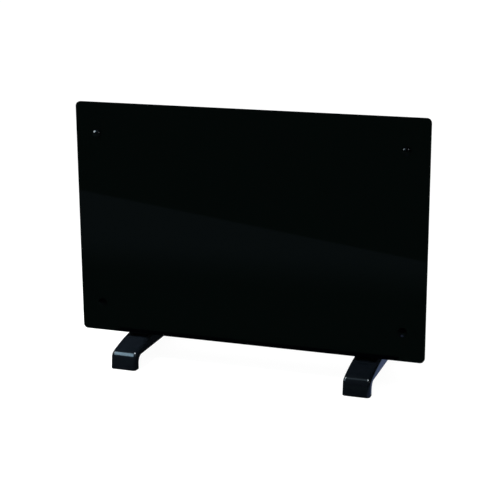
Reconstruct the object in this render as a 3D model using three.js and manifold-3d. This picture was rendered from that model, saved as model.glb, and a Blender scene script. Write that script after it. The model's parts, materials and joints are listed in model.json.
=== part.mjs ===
// Free-standing infrared panel heater: a black toughened-glass front carried on four capped screws,
// a heating element and its insulation behind it, a louvred sheet-steel casing with the controls on
// its right-hand side, and two arched moulded feet.
//
// Millimetres, +Z up. The front faces -Y. The origin lies on the floor, midway between the feet
// and midway along them.

import * as THREE from 'three';
import { mergeVertices } from 'three/addons/utils/BufferGeometryUtils.js';
import Module from 'manifold-3d';

const wasm = await Module();
wasm.setup();

// ---------------------------------------------------------------- driving dimensions

const seatGap = 0.3; // between two pieces that bear on each other
const runningGap = 0.4; // round a piece that turns in another

// Feet
const footLength = 218;
const footWidth = 46;
const footInset = 98; // centre line from the glass's side edge
const footReach = 57; // how far the feet stand out in front of the glass
const footCrownHeight = 44.2;
const footCrownRadius = 347; // of the long arc along the top
const footNoseRadius = 10;
const footFaceDraft = 2.2; // the end faces lean in by this much
const footFaceHeight = 19; // up to the start of the nose
const footArchHeight = 22; // flat underside between the two ends
const footArchRadius = 12;
const footEndThickness = 15;
const footToeRadius = 6; // of the upright corners, seen from above
const footEdgeRadius = 2.4;
const footNoseLift = 0.6; // how full the nose's curve is
const footWall = 2.8;
const footRibThickness = 2;
const footRibPitch = 26;
const footRibRecess = 2; // ribs stop short of the arch's edge
const footBossRadius = 5.5;
const footSaddleWidth = 40;
const footSaddleInset = 5; // from the casing's front and back
const footScrewSpacing = 44; // along the foot
const footScrewHeadHeight = 33; // where the heads bear, above the foot's base
const footScrewPast = 6; // how far the screws reach into the casing
const padLength = 36;
const padWidth = 8;
const padThickness = 2;
const padStandOut = 0.6;

// Glass
const glassWidth = 600;
const glassHeight = 396;
const glassThickness = 5;
const glassCornerRadius = 8;
const glassArris = 0.8;
const glassClearance = 3.3; // above the feet's crown
const capInsetSide = 37.5;
const capInsetTop = 53;
const capInsetBottom = 49;

// Glass fixings
const capWall = 1;
const capCrownWall = 1.8;
const capRim = 1.2;
const capDomeSteps = 6;
const bushFlangeRadius = 6.2;
const bushFlangeThickness = 1.2;
const bushSleeveRadius = 4;
const screwRadius = 2;
const screwHeadRadius = 3.8;
const screwHeadHeight = 2;
const screwHeadSide = 0.45; // of the head's height, up to its dome
const screwHeadDome = [0.72, 0.88]; // of its radius and height, where the dome flattens
const standoffLength = 6; // glass to casing
const standoffRadius = 7;
const nutAcrossFlats = 7;
const nutThickness = 3.2;
const screwPastNut = 1.5;

// Casing
const casingInsetSide = 28; // inside the glass's outline
const casingInsetTop = 19.5;
const casingInsetBottom = 8.5;
const casingDepth = 74;
const casingCornerRadius = 12;
const casingSheet = 1;
const casingLip = 15; // turned in round the back
const windowInsetSide = 24; // inside the casing's outline
const windowInsetEnd = 28;
const windowCornerRadius = 6;
const ventWidth = 5; // slots through the top and bottom walls
const ventLength = 52;
const ventPitch = 66;
const ventMargin = 30; // from the casing's sides
const ventRowPitch = 14;
const ventRows = 2;

// Rear cover
const fieldInset = 30; // from the cover's edge to the foot of the raised field
const fieldRise = 8;
const fieldSlope = 7; // how far its sides run in as they rise
const fieldRadius = 16;
const louvreLength = 60;
const louvreHeight = 10;
const louvreRise = 3.6;
const louvreEnd = 7; // length of each sloping end
const louvreBend = 0.15; // of its height, where the curve of its back ends
const louvreMouthDrop = 0.4; // of the sheet, below the hood's lower edge
const louvreEndRise = 0.1; // of the full rise, at each tip
const louvrePitch = 72;
const louvreMargin = 12; // from the sides of the raised field
const louvreRowPitch = 20;
const louvreRows = 2;
const louvreBandInset = 49; // from the top and bottom of the raised field
const coverScrewInset = 8;
const coverScrewColumns = 3;
const coverScrewRadius = 1.6;
const coverScrewLength = 7;

// Heater pack
const elementThickness = 0.8;
const elementMargin = 8; // inside the casing's window
const elementCorner = 4;
const trackThickness = 0.4;
const trackWidth = 14;
const trackPitch = 24;
const trackMargin = 14;
const insulationThickness = 18;
const insulationInset = 2; // inside the window
const panSheet = 0.8;
const panCorner = 3;
const panNutClearance = 3; // the flange stops this far from the glass nuts

// Controls, on the right-hand wall
const controlRise = 94; // of the plate's middle above the casing's bottom
const plateWidth = 42;
const plateHeight = 112;
const plateThickness = 2.6;
const plateCornerRadius = 7;
const plateEdge = 0.8;
const plateRimInset = 4;
const plateRimDepth = 5;
const plateRimWall = 1.6;
const knobInset = 32; // the knob's axis, from the plate's top end
const knobRadius = 16.5;
const knobHeight = 10;
const knobWall = 2;
const knobFlutes = 12;
const knobEdge = 1.2;
const knobFluteDepth = 1;
const knobSkirtReach = 1; // beyond the grip
const knobSkirt = 2;
const knobPointerDepth = 0.8;
const knobPointerWidth = 1.4;
const knobPointerPlace = 0.62; // of the knob's radius, from its axis
const knobHollowTaper = 0.6;
const knobFlat = 1.2; // taken off one side of the shaft
const knobFlatLength = 6;
const knobHubRadius = 6;
const shaftRadius = 3;
const shaftSeat = 4; // how deep the shaft stands in the thermostat's neck
const thermostatSize = { depth: 18, width: 26, height: 30 };
const thermostatNeckRadius = 5.5;
const tabThickness = 0.8; // of every connector tab
const tabLength = 7;
const switchInset = 26; // the switch's middle, from the plate's bottom end
const switchBezel = { height: 22, width: 15, thickness: 1.6 };
const switchBody = { height: 19.6, width: 13, depth: 20 };
const switchHoleCorner = 1;
const switchWall = 0.9;
const switchCavityDepth = 7;
const rockerEndGap = 0.9; // from the ends of the switch's cavity
const rockerTilt = 10; // degrees each way
const rockerDish = 2.4; // the middle of the rocker above its pivot
const rockerUnderside = 2.6;
const rockerFoot = { drop: 1, in: 0.8, toeIn: 2.5 }; // how its ends run in below the pivot
const rockerPinRadius = 1.2;
const rockerPinLength = 0.8;

// Parts inside the casing
const cutoutRadius = 8;
const cutoutHeight = 9;
const cutoutCap = { from: 0.35, to: 0.45, radius: 0.8 }; // of its height and radius
const terminalSize = { width: 34, depth: 18, height: 16 };
const terminalBase = 0.45; // of its height
const terminalHump = 0.62; // of its depth
const terminalHole = 0.72; // of its height
const tiltSize = { width: 26, depth: 16, height: 24 };
const tiltLug = 2;
const cutoutOffset = 110; // from the middle, towards the control side
const terminalInset = 122; // centre, from the casing's side
const tiltInset = 40;
const innerBackInset = 22; // centres of both, from the casing's back
const inletInsetSide = 39; // from the sides of the raised field
const inletInsetBottom = 13;
const glandHeadRadius = 9;
const glandHeadLength = 9;
const glandThreadRadius = 6.5;
const glandThreadLength = 10;
const glandBoreRadius = 3.8;
const glandCollar = 0.4; // of the head's length
const glandCone = { start: 0.5, wide: 0.86, narrow: 0.72 }; // of the head's length and radius
const glandNutReach = 1.15; // of the head's radius, to the nut's corners
const glandNutThickness = 4;

// ---------------------------------------------------------------- derived places

const footX = glassWidth / 2 - footInset;
const glassFront = -footLength / 2 + footReach;
const glassBack = glassFront + glassThickness;
const glassBottom = footCrownHeight + glassClearance;
const glassTop = glassBottom + glassHeight;
const casingWidth = glassWidth - 2 * casingInsetSide;
const casingBottom = glassBottom + casingInsetBottom;
const casingTop = glassTop - casingInsetTop;
const casingHeight = casingTop - casingBottom;
const casingFront = glassBack + standoffLength;
const casingBack = casingFront + casingDepth;
const casingCentre = (casingFront + casingBack) / 2;
const casingMiddle = (casingBottom + casingTop) / 2;
const casingSide = casingWidth / 2;
const windowWidth = casingWidth - 2 * windowInsetSide;
const windowHeight = casingHeight - 2 * windowInsetEnd;
const footScrewRow = [-1, 1].map((end) => casingCentre + (end * footScrewSpacing) / 2);
const capPlaces = [
  { name: 'top_left', x: -1, z: glassTop - capInsetTop },
  { name: 'top_right', x: 1, z: glassTop - capInsetTop },
  { name: 'bottom_left', x: -1, z: glassBottom + capInsetBottom },
  { name: 'bottom_right', x: 1, z: glassBottom + capInsetBottom },
].map((p) => ({ ...p, x: p.x * (glassWidth / 2 - capInsetSide) }));
const nutCornerRadius = nutAcrossFlats / 2 / Math.cos(Math.PI / 6);

const roundSegments = 16;
const smallSegments = 9;

// ---------------------------------------------------------------- materials

const paint = (color, roughness, metalness) =>
  new THREE.MeshStandardMaterial({ color, roughness, metalness });
const materials = {
  glass: paint(0x030506, 0.05, 0),
  footPlastic: paint(0x0b0e14, 0.3, 0),
  capPlastic: paint(0x0a0b0d, 0.15, 0),
  steelPaint: paint(0x17181a, 0.55, 0.2),
  controlPlastic: paint(0x111214, 0.4, 0),
  zinc: paint(0xa7abae, 0.35, 1),
  aluminium: paint(0xc4c8cb, 0.3, 1),
  mica: paint(0xb9a877, 0.6, 0),
  insulation: paint(0xdcd8cc, 0.95, 0),
  rubber: paint(0x151515, 0.9, 0),
  nylon: paint(0x1c1c1e, 0.5, 0),
  porcelain: paint(0xe8e4da, 0.35, 0),
};

const heater = new THREE.Group();

function addPiece(name, geometry, material) {
  const mesh = new THREE.Mesh(geometry, material);
  mesh.name = name;
  heater.add(mesh);
  return mesh;
}

// ---------------------------------------------------------------- geometry helpers

// A closed geometry as a solid that can be joined and cut.
function solid(geometry) {
  const bare = geometry.clone();
  bare.deleteAttribute('normal');
  bare.deleteAttribute('uv');
  const merged = mergeVertices(bare, 1e-4);
  return new wasm.Manifold(
    new wasm.Mesh({
      numProp: 3,
      vertProperties: merged.attributes.position.array,
      triVerts: new Uint32Array(merged.index.array),
    }),
  );
}

function geometryOf(made) {
  const { numProp, vertProperties, triVerts } = made.getMesh();
  const positions = new Float32Array((vertProperties.length / numProp) * 3);
  for (let i = 0; i < positions.length / 3; i++) {
    positions.set(vertProperties.subarray(i * numProp, i * numProp + 3), i * 3);
  }
  const geometry = new THREE.BufferGeometry();
  geometry.setAttribute('position', new THREE.BufferAttribute(positions, 3));
  geometry.setIndex(new THREE.BufferAttribute(triVerts, 1));
  geometry.computeVertexNormals();
  return geometry;
}

const joined = (pieces) => pieces.reduce((a, b) => a.add(b));
const cutBy = (body, tools) => tools.reduce((a, b) => a.subtract(b), body);

// The corner radius gives way where a side is too short for it.
function roundedRectangle(width, height, corner) {
  const x = width / 2;
  const y = height / 2;
  const radius = Math.min(Math.max(corner, 0.2), 0.98 * x, 0.98 * y);
  const shape = new THREE.Shape();
  shape.moveTo(x, -y + radius);
  shape.absarc(x - radius, y - radius, radius, 0, Math.PI / 2);
  shape.absarc(-x + radius, y - radius, radius, Math.PI / 2, Math.PI);
  shape.absarc(-x + radius, -y + radius, radius, Math.PI, 1.5 * Math.PI);
  shape.absarc(x - radius, -y + radius, radius, 1.5 * Math.PI, 2 * Math.PI);
  return shape;
}

// A shape drawn in X and Z, made a plate of some thickness that starts at y and grows backwards.
function plateAcross(shape, y, thickness, curveSegments = 4, bevel = {}) {
  const options = { depth: thickness, curveSegments, bevelEnabled: false, ...bevel };
  return new THREE.ExtrudeGeometry(shape, options).rotateX(Math.PI / 2).translate(0, y + thickness, 0);
}

// A shape drawn in Y and Z, made a plate that starts at x and grows to the right.
function plateSideways(shape, x, thickness, curveSegments = 4, bevel = {}) {
  const options = { depth: thickness, curveSegments, bevelEnabled: false, ...bevel };
  const turn = new THREE.Matrix4().makeBasis(
    new THREE.Vector3(0, 1, 0),
    new THREE.Vector3(0, 0, 1),
    new THREE.Vector3(1, 0, 0),
  );
  return new THREE.ExtrudeGeometry(shape, options).applyMatrix4(turn).translate(x, 0, 0);
}

// Extrusion settings that round the edges of a plate without widening it.
const rounded = (radius, steps) => ({
  bevelEnabled: true,
  bevelThickness: radius,
  bevelSize: radius,
  bevelOffset: -radius,
  bevelSegments: steps,
});

// Profile points are [radius, distance along the axis]; the axis starts at the origin.
function turned(profile, direction, segments = roundSegments) {
  const points = profile.map(([radius, along]) => new THREE.Vector2(radius, along));
  const lathe = new THREE.LatheGeometry(points, segments);
  const aim = new THREE.Quaternion().setFromUnitVectors(new THREE.Vector3(0, 1, 0), direction);
  return lathe.applyQuaternion(aim);
}

const forwards = new THREE.Vector3(0, -1, 0);
const backwards = new THREE.Vector3(0, 1, 0);
const rightwards = new THREE.Vector3(1, 0, 0);
const upwards = new THREE.Vector3(0, 0, 1);

function rod(radius, from, to, direction, segments = roundSegments) {
  return turned([[0, from], [radius, from], [radius, to], [0, to]], direction, segments);
}

function block(width, depth, height, x, y, z) {
  return new THREE.BoxGeometry(width, depth, height).translate(x, y, z);
}

// A slot along X with round ends.
function slotOutline(length, width) {
  const straight = (length - width) / 2;
  const shape = new THREE.Shape();
  shape.moveTo(-straight, -width / 2);
  shape.absarc(straight, 0, width / 2, -Math.PI / 2, Math.PI / 2);
  shape.absarc(-straight, 0, width / 2, Math.PI / 2, 1.5 * Math.PI);
  return shape;
}

// A closed skin over convex rings with the same number of points, one after another.
function skin(rings) {
  const count = rings[0].length;
  const last = (rings.length - 1) * count;
  const index = [];
  for (let ring = 0; ring < rings.length - 1; ring++) {
    for (let i = 0; i < count; i++) {
      const a = ring * count + i;
      const b = ring * count + ((i + 1) % count);
      index.push(a, b, a + count, b, b + count, a + count);
    }
  }
  for (let i = 1; i < count - 1; i++) index.push(0, i + 1, i, last, last + i, last + i + 1);
  const geometry = new THREE.BufferGeometry().setFromPoints(rings.flat());
  geometry.setIndex(index);
  return geometry;
}

const evenly = (count, pitch) => Array.from({ length: count }, (_, i) => (i - (count - 1) / 2) * pitch);

// ---------------------------------------------------------------- glass front

function makeGlass() {
  const outline = roundedRectangle(glassWidth, glassHeight, glassCornerRadius);
  const middle = glassBottom + glassHeight / 2;
  for (const { x, z } of capPlaces) {
    const hole = new THREE.Path();
    hole.absarc(x, z - middle, bushSleeveRadius + seatGap, 0, 2 * Math.PI, true);
    outline.holes.push(hole);
  }
  const thickness = glassThickness - 2 * glassArris;
  const pane = plateAcross(outline, glassFront + glassArris, thickness, 5, rounded(glassArris, 1));
  addPiece('front_glass', pane.translate(0, 0, middle), materials.glass);
}

// ---------------------------------------------------------------- glass fixings

function screwProfile(shankLength, headRadius, headHeight, radius) {
  return [
    [0, -shankLength],
    [radius, -shankLength + radius],
    [radius, 0],
    [headRadius, 0],
    [headRadius, headHeight * screwHeadSide],
    [headRadius * screwHeadDome[0], headHeight * screwHeadDome[1]],
    [0, headHeight],
  ];
}

function nutOutline(cornerRadius, boreRadius) {
  const shape = new THREE.Shape();
  for (let i = 0; i < 6; i++) {
    const angle = (i * Math.PI) / 3;
    shape[i ? 'lineTo' : 'moveTo'](cornerRadius * Math.cos(angle), cornerRadius * Math.sin(angle));
  }
  const bore = new THREE.Path();
  bore.absarc(0, 0, boreRadius, 0, 2 * Math.PI, true);
  shape.holes.push(bore);
  return shape;
}

// The cap is a hollow dome on a short straight rim. It snaps over the bush's flange and hides the
// screw head.
function capProfile() {
  const bore = bushFlangeRadius + seatGap;
  const radius = bore + capWall;
  const headBore = screwHeadRadius + seatGap;
  const step = bushFlangeThickness + 2 * seatGap;
  const ceiling = step + screwHeadHeight + seatGap;
  const height = ceiling + capCrownWall;
  const rise = height - capRim;
  const domeRadius = (radius ** 2 + rise ** 2) / (2 * rise);
  const spread = Math.asin(radius / domeRadius);
  const dome = [];
  for (let i = 0; i <= capDomeSteps; i++) {
    const angle = spread * (1 - i / capDomeSteps);
    dome.push([domeRadius * Math.sin(angle), height - domeRadius * (1 - Math.cos(angle))]);
  }
  return [
    [0, ceiling],
    [headBore, ceiling],
    [headBore, step],
    [bore, step],
    [bore, 0],
    [radius, 0],
    ...dome,
  ];
}

function makeGlassFixings() {
  const cap = turned(capProfile(), forwards);
  const bushLength = glassThickness + 2 * seatGap;
  const bushBore = screwRadius + seatGap;
  const bush = turned(
    [
      [bushBore, -bushLength],
      [bushSleeveRadius, -bushLength],
      [bushSleeveRadius, 0],
      [bushFlangeRadius, 0],
      [bushFlangeRadius, bushFlangeThickness],
      [bushBore, bushFlangeThickness],
      [bushBore, -bushLength],
    ],
    forwards,
    smallSegments,
  );
  const standoff = turned(
    [
      [bushBore, seatGap * 2],
      [standoffRadius, seatGap * 2],
      [standoffRadius, standoffLength - seatGap],
      [bushBore, standoffLength - seatGap],
      [bushBore, seatGap * 2],
    ],
    backwards,
    smallSegments,
  );
  const headSeat = glassFront - seatGap - bushFlangeThickness - seatGap;
  const nutFront = casingFront + casingSheet + seatGap;
  const shankLength = nutFront + nutThickness + screwPastNut - headSeat;
  const profile = screwProfile(shankLength, screwHeadRadius, screwHeadHeight, screwRadius);
  const screw = turned(profile, forwards, smallSegments);
  const nut = plateAcross(nutOutline(nutCornerRadius, screwRadius + seatGap), nutFront, nutThickness, 4);

  for (const { name, x, z } of capPlaces) {
    addPiece(`cap_${name}`, cap, materials.capPlastic).position.set(x, glassFront - seatGap, z);
    addPiece(`glass_bush_${name}`, bush, materials.nylon).position.set(x, glassFront - seatGap, z);
    addPiece(`standoff_${name}`, standoff, materials.rubber).position.set(x, glassBack, z);
    addPiece(`glass_screw_${name}`, screw, materials.zinc).position.set(x, headSeat, z);
    addPiece(`glass_nut_${name}`, nut, materials.zinc).position.set(x, 0, z);
  }
}

// ---------------------------------------------------------------- heater pack

// A meander of resistance foil on a mica sheet, laid on the back of the glass.
function makeHeatingElement() {
  const width = windowWidth - 2 * elementMargin;
  const height = windowHeight - 2 * elementMargin;
  const front = glassBack + seatGap;
  const outline = roundedRectangle(width, height, elementCorner);
  const sheet = solid(plateAcross(outline, front, elementThickness, 2));
  const left = -width / 2 + trackMargin;
  const right = width / 2 - trackMargin;
  const runs = 2 * Math.floor((height - 2 * trackMargin - trackWidth) / trackPitch / 2);
  const rows = evenly(runs, trackPitch);
  const trackY = front + elementThickness;
  const strip = (x0, x1, z0, z1) =>
    solid(block(x1 - x0, 2 * trackThickness, z1 - z0, (x0 + x1) / 2, trackY, (z0 + z1) / 2));
  const foil = rows.map((z) => strip(left, right, z - trackWidth / 2, z + trackWidth / 2));
  rows.slice(1).forEach((z, i) => {
    const x = i % 2 ? left : right - trackWidth;
    foil.push(strip(x, x + trackWidth, z - trackPitch, z));
  });
  const element = joined([sheet, ...foil]);
  addPiece('heating_element', geometryOf(element).translate(0, 0, casingMiddle), materials.mica);
}

function makeInsulation() {
  const front = glassBack + seatGap + elementThickness + trackThickness + seatGap;
  const width = windowWidth - 2 * insulationInset;
  const outline = roundedRectangle(width, windowHeight - 2 * insulationInset, panCorner);
  const board = plateAcross(outline, front, insulationThickness, 2);
  addPiece('insulation_board', board.translate(0, 0, casingMiddle), materials.insulation);
  return front + insulationThickness;
}

// A shallow aluminium pan that holds the insulation against the element; its flange seats on the
// back of the casing's front wall.
function makePan(insulationBack) {
  const flangeFront = casingFront + casingSheet + seatGap;
  const innerWidth = windowWidth - 2 * insulationInset + 2 * seatGap;
  const innerHeight = windowHeight - 2 * insulationInset + 2 * seatGap;
  const floorFront = insulationBack + seatGap;
  const reach = capPlaces[1].x - nutCornerRadius - panNutClearance - innerWidth / 2;
  const pan = (grow) =>
    roundedRectangle(innerWidth + 2 * grow, innerHeight + 2 * grow, panCorner + grow / 2);
  const flange = solid(plateAcross(pan(reach), flangeFront, panSheet, 1));
  const shell = solid(plateAcross(pan(panSheet), flangeFront, floorFront + panSheet - flangeFront, 1));
  const hollow = solid(plateAcross(pan(0), flangeFront - 1, floorFront - flangeFront + 1, 1));
  const made = geometryOf(joined([flange, shell]).subtract(hollow));
  addPiece('reflector_pan', made.translate(0, 0, casingMiddle), materials.aluminium);
  return floorFront + panSheet;
}

// ---------------------------------------------------------------- casing

// No vents where a foot's saddle covers the bottom wall.
const nearFoot = (x) => Math.abs(Math.abs(x) - footX) < (footSaddleWidth + ventLength) / 2;

// Slots through the top and bottom walls, in rows across the depth.
function wallVents() {
  const cut = 3 * casingSheet;
  const slot = new THREE.ExtrudeGeometry(slotOutline(ventLength, ventWidth), {
    depth: cut,
    curveSegments: 2,
    bevelEnabled: false,
  });
  const columns = Math.floor((casingWidth - 2 * ventMargin) / ventPitch);
  const tools = [];
  for (const row of evenly(ventRows, ventRowPitch)) {
    for (const x of evenly(columns, ventPitch)) {
      for (const wall of [-1, 1]) {
        if (wall < 0 && nearFoot(x)) continue;
        tools.push(slot.clone().translate(x, casingCentre + row, (wall * casingHeight) / 2 - cut / 2));
      }
    }
  }
  return tools;
}

function makeTray() {
  const outer = roundedRectangle(casingWidth, casingHeight, casingCornerRadius);
  const innerRadius = casingCornerRadius - casingSheet;
  const innerWidth = casingWidth - 2 * casingSheet;
  const inner = roundedRectangle(innerWidth, casingHeight - 2 * casingSheet, innerRadius);
  const mouthWidth = casingWidth - 2 * casingLip;
  const lip = roundedRectangle(mouthWidth, casingHeight - 2 * casingLip, windowCornerRadius);
  const window = roundedRectangle(windowWidth, windowHeight, windowCornerRadius);
  const tools = [
    plateAcross(inner, casingFront + casingSheet, casingDepth - 2 * casingSheet, 2),
    plateAcross(lip, casingBack - 2 * casingSheet, 3 * casingSheet, 2),
    plateAcross(window, casingFront - casingSheet, 3 * casingSheet, 2),
    ...wallVents(),
  ];
  const screwHole = (radius, direction) =>
    rod(radius + seatGap, -2 * casingSheet, 2 * casingSheet, direction, smallSegments);
  for (const { x, z } of capPlaces) {
    tools.push(screwHole(screwRadius, backwards).translate(x, casingFront, z - casingMiddle));
  }
  for (const { x, z } of coverScrewPlaces()) {
    tools.push(screwHole(coverScrewRadius, backwards).translate(x, casingBack, z - casingMiddle));
  }
  for (const side of [-1, 1]) {
    for (const y of footScrewRow) {
      tools.push(screwHole(screwRadius, upwards).translate(side * footX, y, -casingHeight / 2));
    }
  }
  const panelHole = plateSideways(
    roundedRectangle(
      plateWidth - 2 * plateRimInset + 2 * seatGap,
      plateHeight - 2 * plateRimInset + 2 * seatGap,
      plateCornerRadius - 2,
    ),
    casingSide - 2 * casingSheet,
    3 * casingSheet,
    2,
  );
  tools.push(panelHole.translate(0, casingCentre, plateMiddle - casingMiddle));
  const body = cutBy(solid(plateAcross(outer, casingFront, casingDepth, 3)), tools.map(solid));
  addPiece('casing_tray', geometryOf(body).translate(0, 0, casingMiddle), materials.steelPaint);
}

function coverScrewPlaces() {
  const outerColumn = casingSide - coverScrewInset;
  const columns = evenly(coverScrewColumns, (2 * outerColumn) / (coverScrewColumns - 1));
  const rows = [casingBottom + coverScrewInset, casingTop - coverScrewInset];
  return columns.flatMap((x) => rows.map((z) => ({ x, z })));
}

// A rounded rectangle that shrinks as it runs back from one plane to another.
function taperedBlock(width, height, radius, from, to, slope) {
  const ring = (grow, y) =>
    roundedRectangle(width + 2 * grow, height + 2 * grow, radius + grow)
      .getPoints(2)
      .slice(0, -1)
      .map((p) => new THREE.Vector3(p.x, y, p.y));
  return skin([ring(-slope, to), ring(0, from)]);
}

// One pressed louvre, lofted along X: flat at its two ends, full height between them. Its mouth
// faces down. inset gives the same form one sheet in, which cuts the hollow and opens the mouth.
function louvre(inset) {
  const section = (x, rise) => {
    const top = louvreHeight / 2 - inset;
    const mouth = -louvreHeight / 2 - inset * louvreMouthDrop;
    const side = new THREE.Shape();
    side.moveTo(-inset - casingSheet / 2, top);
    side.lineTo(0, top);
    side.quadraticCurveTo(rise, louvreHeight * louvreBend, rise, mouth);
    side.lineTo(-inset - casingSheet / 2, mouth);
    return side.getPoints(2).map((p) => new THREE.Vector3(x, p.x, p.y));
  };
  const half = louvreLength / 2 - inset;
  const shoulder = half - louvreEnd;
  const full = louvreRise - inset;
  const low = full * louvreEndRise;
  const places = [[half, low], [shoulder, full], [-shoulder, full], [-half, low]];
  return skin(places.map(([x, rise]) => section(x, rise)));
}

const coverFront = casingBack + seatGap;
const coverBack = coverFront + casingSheet;
const fieldBack = coverBack + fieldRise;
const fieldHalfWidth = casingSide - fieldInset - fieldSlope; // of its flat
const fieldHalfHeight = casingHeight / 2 - fieldInset - fieldSlope;
const inletX = fieldHalfWidth - inletInsetSide;
const inletZ = casingMiddle - fieldHalfHeight + inletInsetBottom;

function makeRearCover() {
  const outline = roundedRectangle(casingWidth, casingHeight, casingCornerRadius);
  const rim = solid(plateAcross(outline, coverFront, casingSheet, 3));
  const width = casingWidth - 2 * fieldInset;
  const height = casingHeight - 2 * fieldInset;
  const field = taperedBlock(width, height, fieldRadius, coverFront, fieldBack, fieldSlope);
  const hollow = taperedBlock(
    width - 2 * casingSheet,
    height - 2 * casingSheet,
    fieldRadius - casingSheet,
    coverFront - casingSheet,
    fieldBack - casingSheet,
    fieldSlope,
  );
  const nearInlet = (x, z) =>
    Math.abs(x - inletX) < louvreLength / 2 + glandHeadRadius &&
    Math.abs(z + casingMiddle - inletZ) < louvreHeight / 2 + glandHeadRadius;
  const columns = Math.floor(2 * (fieldHalfWidth - louvreMargin) / louvrePitch);
  const hoods = [];
  const mouths = [];
  for (const band of [-1, 1]) {
    for (const row of evenly(louvreRows, louvreRowPitch)) {
      for (const x of evenly(columns, louvrePitch)) {
        const z = band * (fieldHalfHeight - louvreBandInset) + row;
        if (nearInlet(x, z)) continue;
        hoods.push(solid(louvre(0).translate(x, fieldBack, z)));
        mouths.push(louvre(casingSheet).translate(x, fieldBack, z));
      }
    }
  }
  const holes = coverScrewPlaces().map(({ x, z }) =>
    rod(coverScrewRadius + seatGap, -2 * casingSheet, 2 * casingSheet, backwards, smallSegments).translate(
      x,
      coverBack,
      z - casingMiddle,
    ),
  );
  const inlet = rod(glandThreadRadius + seatGap, -2 * casingSheet, 2 * casingSheet, backwards);
  inlet.translate(inletX, fieldBack, inletZ - casingMiddle);
  const pressed = joined([rim.add(solid(field)).subtract(solid(hollow)), ...hoods]);
  const body = cutBy(pressed, [...mouths, ...holes, inlet].map(solid));
  addPiece('rear_cover', geometryOf(body).translate(0, 0, casingMiddle), materials.steelPaint);

  const profile = screwProfile(coverScrewLength, 2 * coverScrewRadius, screwHeadHeight, coverScrewRadius);
  const screw = turned(profile, backwards, smallSegments);
  coverScrewPlaces().forEach(({ x, z }, i) => {
    addPiece(`cover_screw_${i + 1}`, screw, materials.zinc).position.set(x, coverBack + seatGap, z);
  });
}

// ---------------------------------------------------------------- cord inlet

// The gland is left without its cord: a round head outside, a thread through the cover, a nut inside.
function makeInlet() {
  const seat = fieldBack + seatGap;
  const gland = turned(
    [
      [glandBoreRadius, -glandThreadLength],
      [glandThreadRadius, -glandThreadLength],
      [glandThreadRadius, 0],
      [glandHeadRadius, 0],
      [glandHeadRadius, glandHeadLength * glandCollar],
      [glandHeadRadius * glandCone.wide, glandHeadLength * glandCone.start],
      [glandHeadRadius * glandCone.narrow, glandHeadLength],
      [glandBoreRadius, glandHeadLength],
      [glandBoreRadius, -glandThreadLength],
    ],
    backwards,
  );
  addPiece('cord_gland', gland, materials.nylon).position.set(inletX, seat, inletZ);
  const nutFront = fieldBack - casingSheet - seatGap - glandNutThickness;
  const hexagon = nutOutline(glandNutReach * glandHeadRadius, glandThreadRadius + seatGap);
  const nut = plateAcross(hexagon, nutFront, glandNutThickness, roundSegments / 2);
  addPiece('gland_nut', nut, materials.nylon).position.set(inletX, 0, inletZ);
}

// ---------------------------------------------------------------- controls

const plateMiddle = casingBottom + controlRise;
const knobOffset = plateHeight / 2 - knobInset;
const switchOffset = plateHeight / 2 - switchInset;
const plateBack = casingSide + seatGap;
const plateFront = plateBack + plateThickness;
const knobZ = plateMiddle + knobOffset;
const knobBack = plateFront + runningGap;
const switchZ = plateMiddle - switchOffset;
const pivotX = plateFront - rockerPinRadius;

function makeControlPlate() {
  const faceShape = roundedRectangle(plateWidth, plateHeight, plateCornerRadius);
  const faceThickness = plateThickness - plateEdge;
  const face = solid(plateSideways(faceShape, plateBack, faceThickness, 2, rounded(plateEdge, 2)));
  const flat = solid(block(plateEdge * 2, 2 * plateWidth, 2 * plateHeight, plateBack - plateEdge, 0, 0));
  const rimWidth = plateWidth - 2 * plateRimInset;
  const rimHeight = plateHeight - 2 * plateRimInset;
  const rimShape = roundedRectangle(rimWidth, rimHeight, plateCornerRadius - 2);
  const rim = solid(plateSideways(rimShape, plateBack - plateRimDepth, plateRimDepth + 1, 2));
  const rimHollow = solid(
    plateSideways(
      roundedRectangle(rimWidth - 2 * plateRimWall, rimHeight - 2 * plateRimWall, plateCornerRadius - 3),
      plateBack - plateRimDepth - 1,
      plateRimDepth + 1,
      2,
    ),
  );
  const through = 4 * plateThickness;
  const shaftHole = rod(shaftRadius + runningGap, -through, through, rightwards);
  const holeWidth = switchBody.width + 2 * seatGap;
  const holeHeight = switchBody.height + 2 * seatGap;
  const holeShape = roundedRectangle(holeWidth, holeHeight, switchHoleCorner);
  const switchHole = plateSideways(holeShape, plateBack - through, 2 * through, 2);
  const holes = [
    shaftHole.translate(plateBack, 0, knobOffset),
    switchHole.translate(0, 0, -switchOffset),
  ];
  const body = cutBy(face.subtract(flat).add(rim.subtract(rimHollow)), holes.map(solid));
  const plate = addPiece('control_plate', geometryOf(body), materials.controlPlastic);
  plate.position.set(0, casingCentre, plateMiddle);
}

// Flat connector tabs on the back of a part, in a row along Z, standing inwards from x.
const tabsAt = (x, places, width) =>
  places.map((z) => solid(block(2 * tabLength, width, tabThickness, x, 0, z)));

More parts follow.
